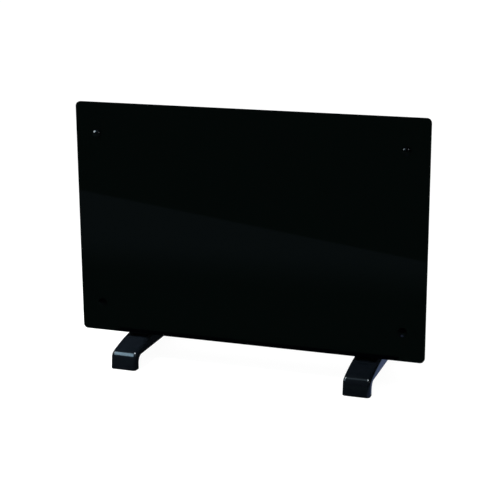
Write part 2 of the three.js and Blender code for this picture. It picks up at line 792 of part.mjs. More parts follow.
// The thermostat stands on the back of the plate by its neck. Its shaft has a flat that the knob fits.
function makeThermostat() {
  const { depth, width, height } = thermostatSize;
  const neckEnd = plateBack - seatGap;
  const front = plateBack - plateRimDepth - seatGap;
  const body = solid(block(depth, width, height, front - depth / 2, 0, 0));
  const neck = solid(rod(thermostatNeckRadius, front - 1, neckEnd, rightwards));
  const recess = solid(rod(shaftRadius + runningGap, neckEnd - shaftSeat, neckEnd + 1, rightwards));
  const tabs = tabsAt(front - depth, [-height / 4, height / 4], width / 5);
  const made = geometryOf(joined([body, neck, ...tabs]).subtract(recess));
  addPiece('thermostat_body', made, materials.porcelain).position.set(0, casingCentre, knobZ);

  const shaftStart = neckEnd - shaftSeat + runningGap;
  const shaftEnd = knobBack + knobHeight - knobWall - seatGap;
  const shaft = solid(rod(shaftRadius, shaftStart, shaftEnd, rightwards));
  const flat = solid(block(2 * knobFlatLength, 4 * shaftRadius, 2 * knobFlat, shaftEnd, 0, shaftRadius));
  const cutShaft = geometryOf(shaft.subtract(flat));
  addPiece('thermostat_shaft', cutShaft, materials.zinc).position.set(0, casingCentre, knobZ);
  return shaftEnd - knobBack;
}

// Origin at the knob's back, on its axis.
function makeKnob(shaftDepth) {
  const outline = new THREE.Shape();
  const steps = knobFlutes * 3;
  for (let i = 0; i < steps; i++) {
    const angle = (i / steps) * 2 * Math.PI;
    const r = knobRadius - (i % 3 ? 0 : knobFluteDepth);
    outline[i ? 'lineTo' : 'moveTo'](r * Math.cos(angle), r * Math.sin(angle));
  }
  const gripHeight = knobHeight - 2 * knobEdge;
  const grip = solid(plateSideways(outline, knobEdge, gripHeight, 1, rounded(knobEdge, 1)));
  const skirt = solid(rod(knobRadius + knobSkirtReach, 0, knobSkirt, rightwards, 2 * knobFlutes));
  const hollow = solid(
    turned(
      [
        [knobHubRadius, -1],
        [knobRadius - knobWall, -1],
        [knobRadius - knobWall - knobHollowTaper, knobHeight - knobWall],
        [knobHubRadius, knobHeight - knobWall],
        [knobHubRadius, -1],
      ],
      rightwards,
    ),
  );
  // The socket is round at its mouth and has the shaft's flat further in.
  const bore = solid(rod(shaftRadius + seatGap, -1, shaftDepth + seatGap, rightwards));
  const keyLength = 2 * (knobFlatLength - seatGap);
  const keyTop = shaftRadius + 2 * seatGap;
  const key = solid(block(keyLength, 4 * shaftRadius, 2 * knobFlat, shaftDepth + 2 * seatGap, 0, keyTop));
  const socket = bore.subtract(key);
  const pointerZ = knobRadius * knobPointerPlace;
  const pointerSize = [2 * knobPointerDepth, knobPointerWidth, knobRadius / 2];
  const pointer = solid(block(...pointerSize, knobHeight, 0, pointerZ));
  const body = cutBy(joined([grip, skirt]), [hollow, socket, pointer]);
  const knob = addPiece('thermostat_knob', geometryOf(body), materials.controlPlastic);
  knob.position.set(knobBack, casingCentre, knobZ);
}

function makeSwitch() {
  const bezelBack = plateFront + seatGap;
  const bezelShape = roundedRectangle(switchBezel.width, switchBezel.height, 1.5);
  const bezel = solid(plateSideways(bezelShape, bezelBack, switchBezel.thickness, 3));
  const bodyShape = roundedRectangle(switchBody.width, switchBody.height, 0.8);
  const body = solid(plateSideways(bodyShape, bezelBack - switchBody.depth, switchBody.depth + 0.5, 2));
  const cavityWidth = switchBody.width - 2 * switchWall;
  const cavityShape = roundedRectangle(cavityWidth, switchBody.height - 2 * switchWall, 0.5);
  const cavity = solid(plateSideways(cavityShape, pivotX - switchCavityDepth, 20, 2));
  const reach = switchBody.width;
  const pinHole = solid(
    rod(rockerPinRadius + seatGap, -reach, reach, backwards, smallSegments).translate(pivotX, 0, 0),
  );
  const tabPlaces = evenly(3, switchBody.height / 3);
  const tabs = tabsAt(bezelBack - switchBody.depth, tabPlaces, switchBody.width / 3);
  const housing = cutBy(joined([bezel, body, ...tabs]), [cavity, pinHole]);
  const made = addPiece('switch_housing', geometryOf(housing), materials.controlPlastic);
  made.position.set(0, casingCentre, switchZ);

  // Rocker, drawn in Z (along) and X (out) about its pivot, then rocked to its off position.
  const tilt = THREE.MathUtils.degToRad(rockerTilt);
  const rockerHalfHeight = switchBody.height / 2 - switchWall - rockerEndGap;
  const rise = rockerDish + rockerHalfHeight * Math.tan(tilt);
  const rockerHalfWidth = switchBody.width / 2 - switchWall - seatGap;
  const profile = new THREE.Shape([
    new THREE.Vector2(rise, -rockerHalfHeight),
    new THREE.Vector2(rockerDish, 0),
    new THREE.Vector2(rise, rockerHalfHeight),
    new THREE.Vector2(-rockerFoot.drop, rockerHalfHeight - rockerFoot.in),
    new THREE.Vector2(-rockerUnderside, rockerHalfHeight - rockerFoot.toeIn),
    new THREE.Vector2(-rockerUnderside, -rockerHalfHeight + rockerFoot.toeIn),
    new THREE.Vector2(-rockerFoot.drop, -rockerHalfHeight + rockerFoot.in),
  ]);
  const bar = solid(plateAcross(profile, -rockerHalfWidth, 2 * rockerHalfWidth));
  const pinEnd = rockerHalfWidth + rockerPinLength;
  const pins = solid(rod(rockerPinRadius, -pinEnd, pinEnd, backwards, 12));
  const rocker = addPiece('power_rocker', geometryOf(bar.add(pins)), materials.controlPlastic);
  rocker.position.set(pivotX, casingCentre, switchZ);
  rocker.rotation.y = -tilt;
}

// ---------------------------------------------------------------- inside the casing

function makeInnerParts(panBack) {
  // Over-temperature cut-out, flat on the back of the pan.
  const disc = solid(
    turned(
      [
        [0, 0],
        [cutoutRadius, 0],
        [cutoutRadius, cutoutHeight * cutoutCap.from],
        [cutoutRadius * cutoutCap.radius, cutoutHeight * cutoutCap.to],
        [cutoutRadius * cutoutCap.radius, cutoutHeight],
        [0, cutoutHeight],
      ],
      backwards,
    ),
  );
  const ears = solid(block(3 * cutoutRadius, 2 * tabThickness, cutoutRadius, 0, tabThickness, 0));
  const cutoutTabs = [-1, 1].map((side) =>
    solid(block(tabThickness, 2 * tabLength, cutoutRadius / 2, (side * cutoutRadius) / 2, cutoutHeight, 0)),
  );
  const cutoutShape = geometryOf(joined([disc, ears, ...cutoutTabs]));
  const cutout = addPiece('thermal_cutout', cutoutShape, materials.porcelain);
  cutout.position.set(cutoutOffset, panBack + seatGap, casingMiddle);

  // Mains terminals and tilt switch, on the casing's bottom wall.
  const floor = casingBottom + casingSheet + seatGap;
  const y = casingBack - innerBackInset;
  const { width, depth, height } = terminalSize;
  const poles = evenly(3, width / 3);
  const base = solid(block(width, depth, height * terminalBase, 0, 0, (height * terminalBase) / 2));
  const humps = poles.map((x) => solid(block(width / 4, depth * terminalHump, height, x, 0, height / 2)));
  const wireHoles = poles.map((x) =>
    solid(rod(width / 20, -depth, depth, backwards, 8).translate(x, 0, height * terminalHole)),
  );
  const terminals = geometryOf(cutBy(joined([base, ...humps]), wireHoles));
  const strip = addPiece('terminal_block', terminals, materials.porcelain);
  strip.position.set(casingSide - terminalInset, y, floor);

  const box = solid(block(tiltSize.width, tiltSize.depth, tiltSize.height, 0, 0, tiltSize.height / 2));
  const lug = solid(block(1.5 * tiltSize.width, tiltSize.depth, tiltLug, 0, 0, tiltLug / 2));
  const tiltTabSize = [tiltSize.width / 5, tabThickness, 2 * tabLength];
  const tiltTabs = [-1, 1].map((side) =>
    solid(block(...tiltTabSize, (side * tiltSize.width) / 4, 0, tiltSize.height)),
  );
  const tiltShape = geometryOf(joined([box, lug, ...tiltTabs]));
  const tilt = addPiece('tilt_switch', tiltShape, materials.controlPlastic);
  tilt.position.set(casingSide - tiltInset, y, floor);
}

// ---------------------------------------------------------------- feet

const crownSteps = 8;

// Height of the crowned top above the foot's base.
const crown = (y) => footCrownHeight - footCrownRadius + Math.sqrt(footCrownRadius ** 2 - y ** 2);

// Side view of one foot, drawn with the length along X and the height along Y.
function footOutline() {
  const half = footLength / 2;
  const shape = new THREE.Shape();
  const faceTop = new THREE.Vector2(half - footFaceDraft, footFaceHeight);
  const noseEnd = half - footNoseRadius - footFaceDraft;
  const noseControl = new THREE.Vector2(faceTop.x - footNoseLift, crown(faceTop.x) + footNoseLift);
  shape.moveTo(half, 0);
  shape.lineTo(faceTop.x, faceTop.y);
  shape.quadraticCurveTo(noseControl.x, noseControl.y, noseEnd, crown(noseEnd));
  for (let i = 1; i <= crownSteps; i++) {
    const y = noseEnd * (1 - (2 * i) / crownSteps);
    shape.lineTo(y, crown(y));
  }
  shape.quadraticCurveTo(-noseControl.x, noseControl.y, -faceTop.x, faceTop.y);
  shape.lineTo(-half, 0);
  const innerWall = half - footEndThickness;
  shape.lineTo(-innerWall, 0);
  shape.lineTo(-innerWall, footArchHeight - footArchRadius);
  const bend = new THREE.Vector2(innerWall - footArchRadius, footArchHeight - footArchRadius);
  shape.absarc(-bend.x, bend.y, footArchRadius, Math.PI, Math.PI / 2, true);
  shape.lineTo(bend.x, footArchHeight);
  shape.absarc(bend.x, bend.y, footArchRadius, Math.PI / 2, 0, true);
  shape.lineTo(innerWall, 0);
  return shape;
}

const saddleFront = casingFront + footSaddleInset;
const saddleBack = casingBack - footSaddleInset;
const saddleTop = casingBottom - seatGap;

function makeFoot() {
  const plan = new THREE.ExtrudeGeometry(roundedRectangle(footWidth, footLength, footToeRadius), {
    depth: 2 * footCrownHeight,
    curveSegments: 2,
    bevelEnabled: false,
  }).translate(0, 0, -footCrownHeight / 2);
  const flatWidth = footWidth - 2 * footEdgeRadius;
  const side = plateSideways(footOutline(), -flatWidth / 2, flatWidth, 3, rounded(footEdgeRadius, 2));
  const outer = solid(side).intersect(solid(plan));
  // The saddle carries the casing's bottom wall.
  const saddleDepth = saddleBack - saddleFront;
  const saddleCentre = (saddleFront + saddleBack) / 2;
  const saddleShape = roundedRectangle(footSaddleWidth, saddleDepth, footToeRadius);
  const saddleBase = (footArchHeight + footCrownHeight) / 2; // inside the foot's roof
  const column = { depth: saddleTop - saddleBase, curveSegments: 2, bevelEnabled: false };
  const saddleBlock = new THREE.ExtrudeGeometry(saddleShape, column);
  const saddle = solid(saddleBlock.translate(0, saddleCentre, saddleBase));
  // Hollow from below, under the crown and up into the saddle.
  const hollowEnd = footLength / 2 - footEndThickness - footArchRadius / 2;
  const roof = new THREE.Shape();
  roof.moveTo(hollowEnd, footArchHeight - footWall);
  for (let i = 0; i <= crownSteps; i++) {
    const y = hollowEnd * (1 - (2 * i) / crownSteps);
    roof.lineTo(y, crown(y) - footWall);
  }
  roof.lineTo(-hollowEnd, footArchHeight - footWall);
  const innerHalf = footWidth / 2 - footWall;
  const hollow = solid(plateSideways(roof, -innerHalf, 2 * innerHalf));
  const saddleHollow = solid(
    block(
      footSaddleWidth - 2 * footWall,
      saddleDepth - 2 * footWall,
      saddleTop - footWall - footArchHeight,
      0,
      saddleCentre,
      (saddleTop - footWall + footArchHeight) / 2,
    ),
  );
  const shell = outer.add(saddle).subtract(hollow).subtract(saddleHollow);
  // Ribs across and along the hollow and the two screw bosses, all inside the outer form.
  const within = outer.add(saddle);
  const ribBottom = footArchHeight + footRibRecess;
  const ribHeight = saddleTop - ribBottom;
  const ribCount = Math.floor((2 * hollowEnd) / footRibPitch);
  const ribMiddle = ribBottom + ribHeight / 2;
  const ribs = evenly(ribCount, footRibPitch).map((y) =>
    solid(block(2 * innerHalf + 1, footRibThickness, ribHeight, 0, y, ribMiddle)),
  );
  const spine = solid(block(footRibThickness, 2 * hollowEnd + 1, ribHeight, 0, 0, ribMiddle));
  const bossBottom = footScrewHeadHeight + seatGap;
  const upright = (radius, from, to, y) => solid(rod(radius, from, to, upwards, 12).translate(0, y, 0));
  const bosses = footScrewRow.map((y) => upright(footBossRadius, bossBottom, saddleTop - footWall / 2, y));
  const headRoom = footScrewRow.map((y) => upright(footBossRadius, 0, bossBottom, y));
  const screwHoles = footScrewRow.map((y) => upright(screwRadius + seatGap, 0, saddleTop + 1, y));
  const ribbed = cutBy(joined([...ribs, spine]).intersect(within), headRoom);
  const padSlots = [-1, 1].map((end) => solid(padGeometry(seatGap).translate(0, end * padCentre, 0)));
  return cutBy(joined([shell, ribbed, ...bosses]), [...screwHoles, ...padSlots]);
}

const padCentre = footLength / 2 - footEndThickness / 2;

// A rubber strip let into the end of a foot; grow widens and deepens it into the pocket that holds it.
function padGeometry(grow) {
  const shape = roundedRectangle(padLength + 2 * grow, padWidth + 2 * grow, padWidth / 2 - 0.1);
  const extra = grow ? 1 : 0;
  return new THREE.ExtrudeGeometry(shape, {
    depth: padThickness + grow + extra,
    curveSegments: 2,
    bevelEnabled: false,
  }).translate(0, 0, -padStandOut - extra);
}

function makeFeet() {
  const foot = geometryOf(makeFoot());
  const pad = padGeometry(0);
  const shank = casingBottom + casingSheet + footScrewPast - footScrewHeadHeight;
  const profile = screwProfile(shank, screwHeadRadius, screwHeadHeight, screwRadius);
  const screw = turned(profile, new THREE.Vector3(0, 0, -1), smallSegments);
  for (const [side, x] of [['left', -1], ['right', 1]]) {
    const centre = x * footX;
    addPiece(`foot_${side}`, foot, materials.footPlastic).position.set(centre, 0, 0);
    for (const [end, y] of [['front', -1], ['rear', 1]]) {
      addPiece(`foot_pad_${side}_${end}`, pad, materials.rubber).position.set(centre, y * padCentre, 0);
    }
    footScrewRow.forEach((y, i) => {
      const name = `foot_screw_${side}_${i ? 'rear' : 'front'}`;
      addPiece(name, screw, materials.zinc).position.set(centre, y, footScrewHeadHeight);
    });
  }
}

makeGlass();
makeGlassFixings();
makeHeatingElement();
const insulationBack = makeInsulation();
const panBack = makePan(insulationBack);
makeTray();
makeRearCover();
makeInlet();
makeControlPlate();
makeKnob(makeThermostat());
makeSwitch();
makeInnerParts(panBack);
makeFeet();
heater.position.z = padStandOut; // the rubber strips stand a little proud of the feet

export default heater;
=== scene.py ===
import json
import math

import bmesh
import bpy
from mathutils import Matrix, Vector

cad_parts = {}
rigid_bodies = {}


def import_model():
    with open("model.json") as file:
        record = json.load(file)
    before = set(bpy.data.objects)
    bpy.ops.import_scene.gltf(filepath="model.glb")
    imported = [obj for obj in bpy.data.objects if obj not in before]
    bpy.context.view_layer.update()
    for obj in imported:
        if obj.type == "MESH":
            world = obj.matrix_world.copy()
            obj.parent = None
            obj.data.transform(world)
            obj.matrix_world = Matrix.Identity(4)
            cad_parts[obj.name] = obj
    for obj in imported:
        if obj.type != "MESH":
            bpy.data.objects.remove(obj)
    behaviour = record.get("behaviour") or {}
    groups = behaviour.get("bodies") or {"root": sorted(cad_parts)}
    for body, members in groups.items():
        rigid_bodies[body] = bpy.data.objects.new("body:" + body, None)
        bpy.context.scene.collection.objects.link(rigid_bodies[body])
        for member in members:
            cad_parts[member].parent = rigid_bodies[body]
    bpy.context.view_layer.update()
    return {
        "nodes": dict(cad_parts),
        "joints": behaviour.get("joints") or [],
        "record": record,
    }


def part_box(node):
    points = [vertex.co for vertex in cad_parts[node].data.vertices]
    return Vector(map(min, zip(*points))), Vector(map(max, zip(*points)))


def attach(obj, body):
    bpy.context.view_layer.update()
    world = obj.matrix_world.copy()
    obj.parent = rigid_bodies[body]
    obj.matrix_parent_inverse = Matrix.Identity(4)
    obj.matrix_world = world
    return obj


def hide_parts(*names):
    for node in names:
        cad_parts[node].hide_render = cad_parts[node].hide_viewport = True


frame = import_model()
mm = 0.001
hair = 0.01 * mm  # closer than this is the same place
nearly = 0.1 * mm

# Working tools: selecting, shaping, finishing.


def onlyThis(piece):
    bpy.ops.object.select_all(action="DESELECT")
    piece.select_set(True)
    bpy.context.view_layer.objects.active = piece


def settle(name):
    piece = bpy.context.object
    piece.name = name
    piece.data.name = name
    bpy.ops.object.transform_apply(location=True, rotation=True, scale=True)
    return piece


def addBlock(name, low, high):
    bpy.ops.object.select_all(action="DESELECT")
    middle = [(a + b) / 2 for a, b in zip(low, high)]
    bpy.ops.mesh.primitive_cube_add(size=1, location=middle, scale=[b - a for a, b in zip(low, high)])
    return settle(name)


def addRoundedBlock(name, low, high, axis, radius, steps=6):
    block = addBlock(name, low, high)
    soften(block, lambda e: runsAlong(e, axis), radius, steps)
    return block


def addDrum(name, centre, radius, length, axis, sides=48):
    turns = {"X": (0, math.pi / 2, 0), "Y": (math.pi / 2, 0, 0), "Z": (0, 0, 0)}
    bpy.ops.object.select_all(action="DESELECT")
    bpy.ops.mesh.primitive_cylinder_add(
        vertices=sides, radius=radius, depth=length, location=centre, rotation=turns[axis]
    )
    return settle(name)


def startEdit(piece):
    onlyThis(piece)
    bpy.ops.object.mode_set(mode="EDIT")


def endEdit():
    bpy.ops.object.mode_set(mode="OBJECT")


def choose(kind, test):
    bpy.ops.mesh.select_mode(type=kind)
    bpy.ops.mesh.select_all(action="DESELECT")
    mesh = bmesh.from_edit_mesh(bpy.context.object.data)
    for part in {"VERT": mesh.verts, "EDGE": mesh.edges, "FACE": mesh.faces}[kind]:
        if test(part):
            part.select_set(True)
    mesh.select_flush_mode()
    bmesh.update_edit_mesh(bpy.context.object.data)


def middleOf(part):
    return sum((v.co for v in part.verts), Vector()) / len(part.verts)


def runsAlong(edge, axis):
    run = edge.verts[1].co - edge.verts[0].co
    return abs(run["XYZ".index(axis)]) > 0.999 * run.length


def liesAt(part, axis, place, slack=2 * hair):
    return all(abs(v.co["XYZ".index(axis)] - place) < slack for v in part.verts)


def isSharp(edge, angle=0.5):
    return len(edge.link_faces) == 2 and edge.calc_face_angle() > angle


def roundEdges(test, radius, steps=3):
    choose("EDGE", test)
    bpy.ops.mesh.bevel(offset=radius, segments=steps, affect="EDGES")


# The same outside edit mode, for a form that needs nothing else.
def soften(piece, test, radius, steps=3):
    startEdit(piece)
    roundEdges(test, radius, steps)
    endEdit()


def pushFace(step):
    bpy.ops.mesh.extrude_region_move(TRANSFORM_OT_translate={"value": step})


# A round body along an axis, grown disc by disc; each ring is its radius and its place on the axis.
def addTurned(name, centre, axis, rings, sides=48):
    along = "XYZ".index(axis)
    radius, start = rings[0]
    here = rings[1][1]
    middle = Vector(centre)
    middle[along] = (start + here) / 2
    form = addDrum(name, middle, radius, abs(here - start), axis, sides)
    startEdit(form)
    choose("FACE", lambda f: liesAt(f, axis, here))
    for i, (wide, place) in enumerate(rings[1:]):
        step = Vector()
        step[along] = place - here
        if i:
            pushFace(step)
        bpy.ops.transform.resize(value=[wide / radius] * 3)
        radius, here = wide, place
    endEdit()
    return form


def applyModifier(piece, kind, **settings):
    onlyThis(piece)
    modifier = piece.modifiers.new(kind.lower(), kind)
    for key, value in settings.items():
        setattr(modifier, key, value)
    bpy.ops.object.modifier_apply(modifier=modifier.name)


def combine(piece, tool, operation):
    applyModifier(piece, "BOOLEAN", operation=operation, solver="EXACT", object=tool)
    bpy.data.objects.remove(tool)
    return piece


def cut(piece, tool):
    return combine(piece, tool, "DIFFERENCE")


def fuse(piece, tool):
    return combine(piece, tool, "UNION")


def joinPieces(pieces):
    onlyThis(pieces[0])
    for piece in pieces:
        piece.select_set(True)
    bpy.ops.object.join()
    return pieces[0]


def repeat(piece, count, step):
    spacing = {"use_relative_offset": False, "use_constant_offset": True, "constant_offset_displace": step}
    applyModifier(piece, "ARRAY", count=count, **spacing)


def standAt(piece, place, turn=(0, 0, 0)):
    onlyThis(piece)
    piece.location = place
    piece.rotation_euler = turn
    bpy.ops.object.transform_apply(location=True, rotation=True, scale=True)
    return piece


def copyPiece(piece, name, shift):
    onlyThis(piece)
    bpy.ops.object.duplicate()
    bpy.ops.transform.translate(value=shift)
    return settle(name)


smoothAngle = 38


# A piece with no slot is a printed mark.
def dress(piece, slotName, *nodes, body="heater"):
    onlyThis(piece)
    bpy.ops.object.shade_smooth_by_angle(angle=math.radians(smoothAngle))
    applyModifier(piece, "WEIGHTED_NORMAL", keep_sharp=True)
    piece.data.materials.clear()
    piece.data.materials.append(finishes.get(slotName, whitePrint))
    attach(piece, body)
    if nodes:
        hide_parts(*nodes)
    return piece


# Finishes.


def newFinish(name, color, roughness, metallic=0.0):
    finish = bpy.data.materials.new(name)
    finish.use_nodes = True
    shader = finish.node_tree.nodes["Principled BSDF"]
    shader.inputs["Base Color"].default_value = (*color, 1)
    shader.inputs["Roughness"].default_value = roughness
    shader.inputs["Metallic"].default_value = metallic
    return finish


def addNode(tree, kind, **settings):
    node = tree.nodes.new("ShaderNode" + kind)
    for socket, value in settings.items():
        node.inputs[socket].default_value = value
    return node


def addRange(tree, span, low, high):
    ends = {"From Min": span[0], "From Max": span[1], "To Min": low, "To Max": high}
    return addNode(tree, "MapRange", **ends)


def noiseOn(finish, scale, detail, stretch=(1, 1, 1)):
    tree = finish.node_tree
    place = addNode(tree, "TexCoord")
    mapping = addNode(tree, "Mapping", Scale=stretch)
    noise = addNode(tree, "TexNoise", Scale=scale, Detail=detail)
    tree.links.new(place.outputs["Object"], mapping.inputs["Vector"])
    tree.links.new(mapping.outputs["Vector"], noise.inputs["Vector"])
    return noise


mottleSpan = (0.35, 0.65)  # the stretch of a noise that is used
sheenSpan = (0.3, 0.7)


def addMottle(finish, dark, light, scale, detail=4):
    tree = finish.node_tree
    noise = noiseOn(finish, scale, detail)
    ramp = addNode(tree, "ValToRGB")
    for end, place, color in zip(ramp.color_ramp.elements, mottleSpan, (dark, light)):
        end.position = place
        end.color = (*color, 1)
    tree.links.new(noise.outputs["Fac"], ramp.inputs["Fac"])
    tree.links.new(ramp.outputs["Color"], tree.nodes["Principled BSDF"].inputs["Base Color"])


def addSheen(finish, low, high, scale, stretch=(1, 1, 1)):
    tree = finish.node_tree
    noise = noiseOn(finish, scale, 4, stretch)
    spread = addRange(tree, sheenSpan, low, high)
    tree.links.new(noise.outputs["Fac"], spread.inputs["Value"])
    tree.links.new(spread.outputs["Result"], tree.nodes["Principled BSDF"].inputs["Roughness"])


def addGrain(finish, scale, depth, strength, stretch=(1, 1, 1)):
    tree = finish.node_tree
    noise = noiseOn(finish, scale, 2, stretch)
    bump = addNode(tree, "Bump", Distance=depth, Strength=strength)
    tree.links.new(noise.outputs["Fac"], bump.inputs["Height"])
    tree.links.new(bump.outputs["Normal"], tree.nodes["Principled BSDF"].inputs["Normal"])


glassCoat = {
    "color": (0.0001, 0.0002, 0.0002),
    "face": 0.03,  # roughness of the front
    "back": 0.45,  # and of the enamelled back
    "fadeFrom": 0.5 * mm,  # before the back face, where one goes over into the other
    "fadeTo": 0.1 * mm,
}


def glassFinish():
    finish = newFinish("blackGlass", glassCoat["color"], glassCoat["face"])
    tree = finish.node_tree
    shader = tree.nodes["Principled BSDF"]
    shader.inputs["IOR"].default_value = 1.52
    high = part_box("front_glass")[1]
    place = addNode(tree, "TexCoord")
    axes = addNode(tree, "SeparateXYZ")
    tree.links.new(place.outputs["Object"], axes.inputs["Vector"])
    span = [high.y - glassCoat["fadeFrom"], high.y - glassCoat["fadeTo"]]
    painted = addRange(tree, span, glassCoat["face"], glassCoat["back"])
    tree.links.new(axes.outputs["Y"], painted.inputs["Value"])
    tree.links.new(painted.outputs["Result"], shader.inputs["Roughness"])
    return finish


def footFinish():
    finish = newFinish("footPlastic", (0.0015, 0.0022, 0.0031), 0.13)
    addMottle(finish, (0.0013, 0.0019, 0.0027), (0.0018, 0.0025, 0.0035), 60)
    addSheen(finish, 0.12, 0.16, 90)
    addGrain(finish, 2600, 0.02 * mm, 0.5)
    return finish


def capFinish():
    finish = newFinish("capPlastic", (0.0003, 0.0004, 0.0005), 0.08)
    addSheen(finish, 0.06, 0.1, 400)
    addGrain(finish, 3000, 0.01 * mm, 0.3)
    return finish


def steelPaintFinish():
    finish = newFinish("powderCoat", (0.012, 0.0125, 0.014), 0.5)
    addMottle(finish, (0.0115, 0.012, 0.0135), (0.0125, 0.013, 0.0145), 40)
    addSheen(finish, 0.48, 0.52, 60)
    addGrain(finish, 1100, 0.06 * mm, 0.7)
    return finish


def controlFinish():
    finish = newFinish("controlPlastic", (0.011, 0.0115, 0.013), 0.42)
    addMottle(finish, (0.0095, 0.01, 0.0115), (0.013, 0.0135, 0.015), 120)
    addSheen(finish, 0.36, 0.48, 150)
    addGrain(finish, 3200, 0.03 * mm, 0.6)
    return finish


def switchFinish():
    finish = newFinish("switchPlastic", (0.008, 0.008, 0.009), 0.25)
    addSheen(finish, 0.2, 0.3, 300)
    addGrain(finish, 3600, 0.01 * mm, 0.3)
    return finish


def zincFinish():
    finish = newFinish("zincSteel", (0.56, 0.57, 0.58), 0.3, 1.0)
    addMottle(finish, (0.46, 0.47, 0.47), (0.62, 0.63, 0.65), 500)
    addSheen(finish, 0.22, 0.4, 700)
    return finish


def aluminiumFinish():
    finish = newFinish("aluminiumSheet", (0.78, 0.79, 0.8), 0.28, 1.0)
    addSheen(finish, 0.2, 0.38, 300, (0.05, 1, 1))
    addGrain(finish, 900, 0.02 * mm, 0.4, (0.03, 1, 1))
    return finish


def micaFinish():
    finish = newFinish("micaSheet", (0.48, 0.42, 0.27), 0.5)
    addMottle(finish, (0.38, 0.32, 0.19), (0.56, 0.5, 0.34), 180, 8)
    addGrain(finish, 500, 0.05 * mm, 0.5)
    return finish


def fibreFinish():
    finish = newFinish("ceramicFibre", (0.72, 0.69, 0.6), 0.95)
    addMottle(finish, (0.62, 0.59, 0.5), (0.8, 0.77, 0.69), 90, 8)
    addGrain(finish, 900, 0.4 * mm, 0.9)
    return finish


def rubberFinish():
    finish = newFinish("blackRubber", (0.012, 0.012, 0.012), 0.8)
    addMottle(finish, (0.01, 0.01, 0.01), (0.016, 0.016, 0.016), 400)
    addGrain(finish, 2400, 0.05 * mm, 0.7)
    return finish


def nylonFinish():
    finish = newFinish("blackNylon", (0.014, 0.014, 0.015), 0.42)
    addMottle(finish, (0.012, 0.012, 0.013), (0.017, 0.017, 0.018), 200)
    addGrain(finish, 2600, 0.03 * mm, 0.5)
    return finish


def ceramicFinish():
    finish = newFinish("glazedCeramic", (0.8, 0.77, 0.7), 0.3)
    addMottle(finish, (0.74, 0.7, 0.62), (0.83, 0.8, 0.74), 150)
    addSheen(finish, 0.22, 0.4, 200)
    return finish


def printFinish():
    finish = newFinish("whitePrint", (0.72, 0.73, 0.74), 0.5)
    addMottle(finish, (0.68, 0.69, 0.7), (0.76, 0.77, 0.78), 900)
    return finish


finishes = {
    "glass": glassFinish(),
    "foot_plastic": footFinish(),
    "cap_plastic": capFinish(),
    "steel_paint": steelPaintFinish(),
    "control_plastic": controlFinish(),
    "switch_plastic": switchFinish(),
    "zinc_steel": zincFinish(),
    "aluminium": aluminiumFinish(),
    "mica": micaFinish(),
    "insulation": fibreFinish(),
    "rubber": rubberFinish(),
    "nylon": nylonFinish(),
    "ceramic": ceramicFinish(),
}
whitePrint = printFinish()
print("finishes ready")

# Camera and studio.

shot = {
    "place": (0.69657, -2.05824, 0.77998),
    "azimuth": 18.99,
    "elevation": 14.968,
    "roll": -0.2905,
    "lens": 96.62,
    "sensor": 36,
}


def makeCamera():
    bpy.ops.object.camera_add(location=shot["place"])
    camera = bpy.context.object
    aim = Matrix.Rotation(math.radians(shot["azimuth"]), 3, "Z")
    aim = aim @ Matrix.Rotation(math.radians(90 - shot["elevation"]), 3, "X")
    aim = aim @ Matrix.Rotation(math.radians(shot["roll"]), 3, "Z")
    camera.rotation_euler = aim.to_euler()
    camera.data.sensor_width = shot["sensor"]
    camera.data.lens = shot["lens"]
    bpy.context.scene.camera = camera


studio = {
    "floorSize": 60,
    "skyStrength": 1.02,
    "floorColor": (0.12, 0.12, 0.12),
    "floorGlow": 0.94,  # a lit table, which takes hardly any shadow
    "lights": {
        "noseStrip": {
            "place": (-0.98, -0.88, 1.6), "size": (0.3, 1.15), "power": 8.4, "color": (0.55, 0.82, 1),
        },
        "leftPanel": {"place": (-0.85, -0.22, 0.95), "size": (0.3, 0.38), "tilt": -90, "power": 2.6},
        "rightPanel": {"place": (0.9, -0.45, 1.15), "size": (0.3, 0.3), "tilt": 90, "power": 1.6},
        "ceiling": {"place": (-0.18, -0.45, 1.6), "size": (0.4, 0.4), "power": 0.3, "color": (0.6, 0.85, 1)},
        "overhead": {"place": (-0.4, -0.25, 0.7), "size": (0.25, 0.25), "power": 19, "color": (1, 1, 1)},
    },
    "glints": {  # each lights one piece alone
        "noseEndLeft": {"place": (-0.29, -0.02, 1.6), "size": (0.4, 0.35), "power": 11, "piece": "footLeft"},
        "shoulderLeft": {"place": (0, 0.85, 1.6), "size": (0.5, 0.9), "power": 0.6, "piece": "footLeft"},
        "noseStartRight": {
            "place": (-0.76, -0.14, 1.6), "size": (0.32, 0.32), "power": 4.6, "piece": "footRight",
        },
        "noseEndRight": {
            "place": (0.24, -0.25, 1.6), "size": (0.24, 0.3), "power": 4.8, "piece": "footRight",
        },
        "shoulderRight": {"place": (0.3, 0.95, 1.6), "size": (0.4, 0.6), "power": 0.3, "piece": "footRight"},
        "capGlint": {
            "place": (-0.85, -0.15, 0.86), "size": (0.5, 0.6), "tilt": -90,
            "power": 12, "piece": "capTopLeft",
        },
    },
    "paleBlue": (0.85, 0.95, 1),  # of a light with no color of its own
    "unmirrored": ["overhead"],
    "sparedPieces": ["capBottomLeft", "capBottomRight", "frontGlass"],  # these stay out of the side lights
}


def addLight(name, light):
    tilt = math.radians(light.get("tilt", 0))
    bpy.ops.object.light_add(type="AREA", location=light["place"], rotation=(0, tilt, 0))
    lamp = bpy.context.object
    lamp.name = name
    lamp.data.shape = "RECTANGLE"
    lamp.data.size, lamp.data.size_y = light["size"]
    lamp.data.energy = light["power"]
    lamp.data.color = light.get("color", studio["paleBlue"])
    lamp.visible_glossy = name not in studio["unmirrored"]


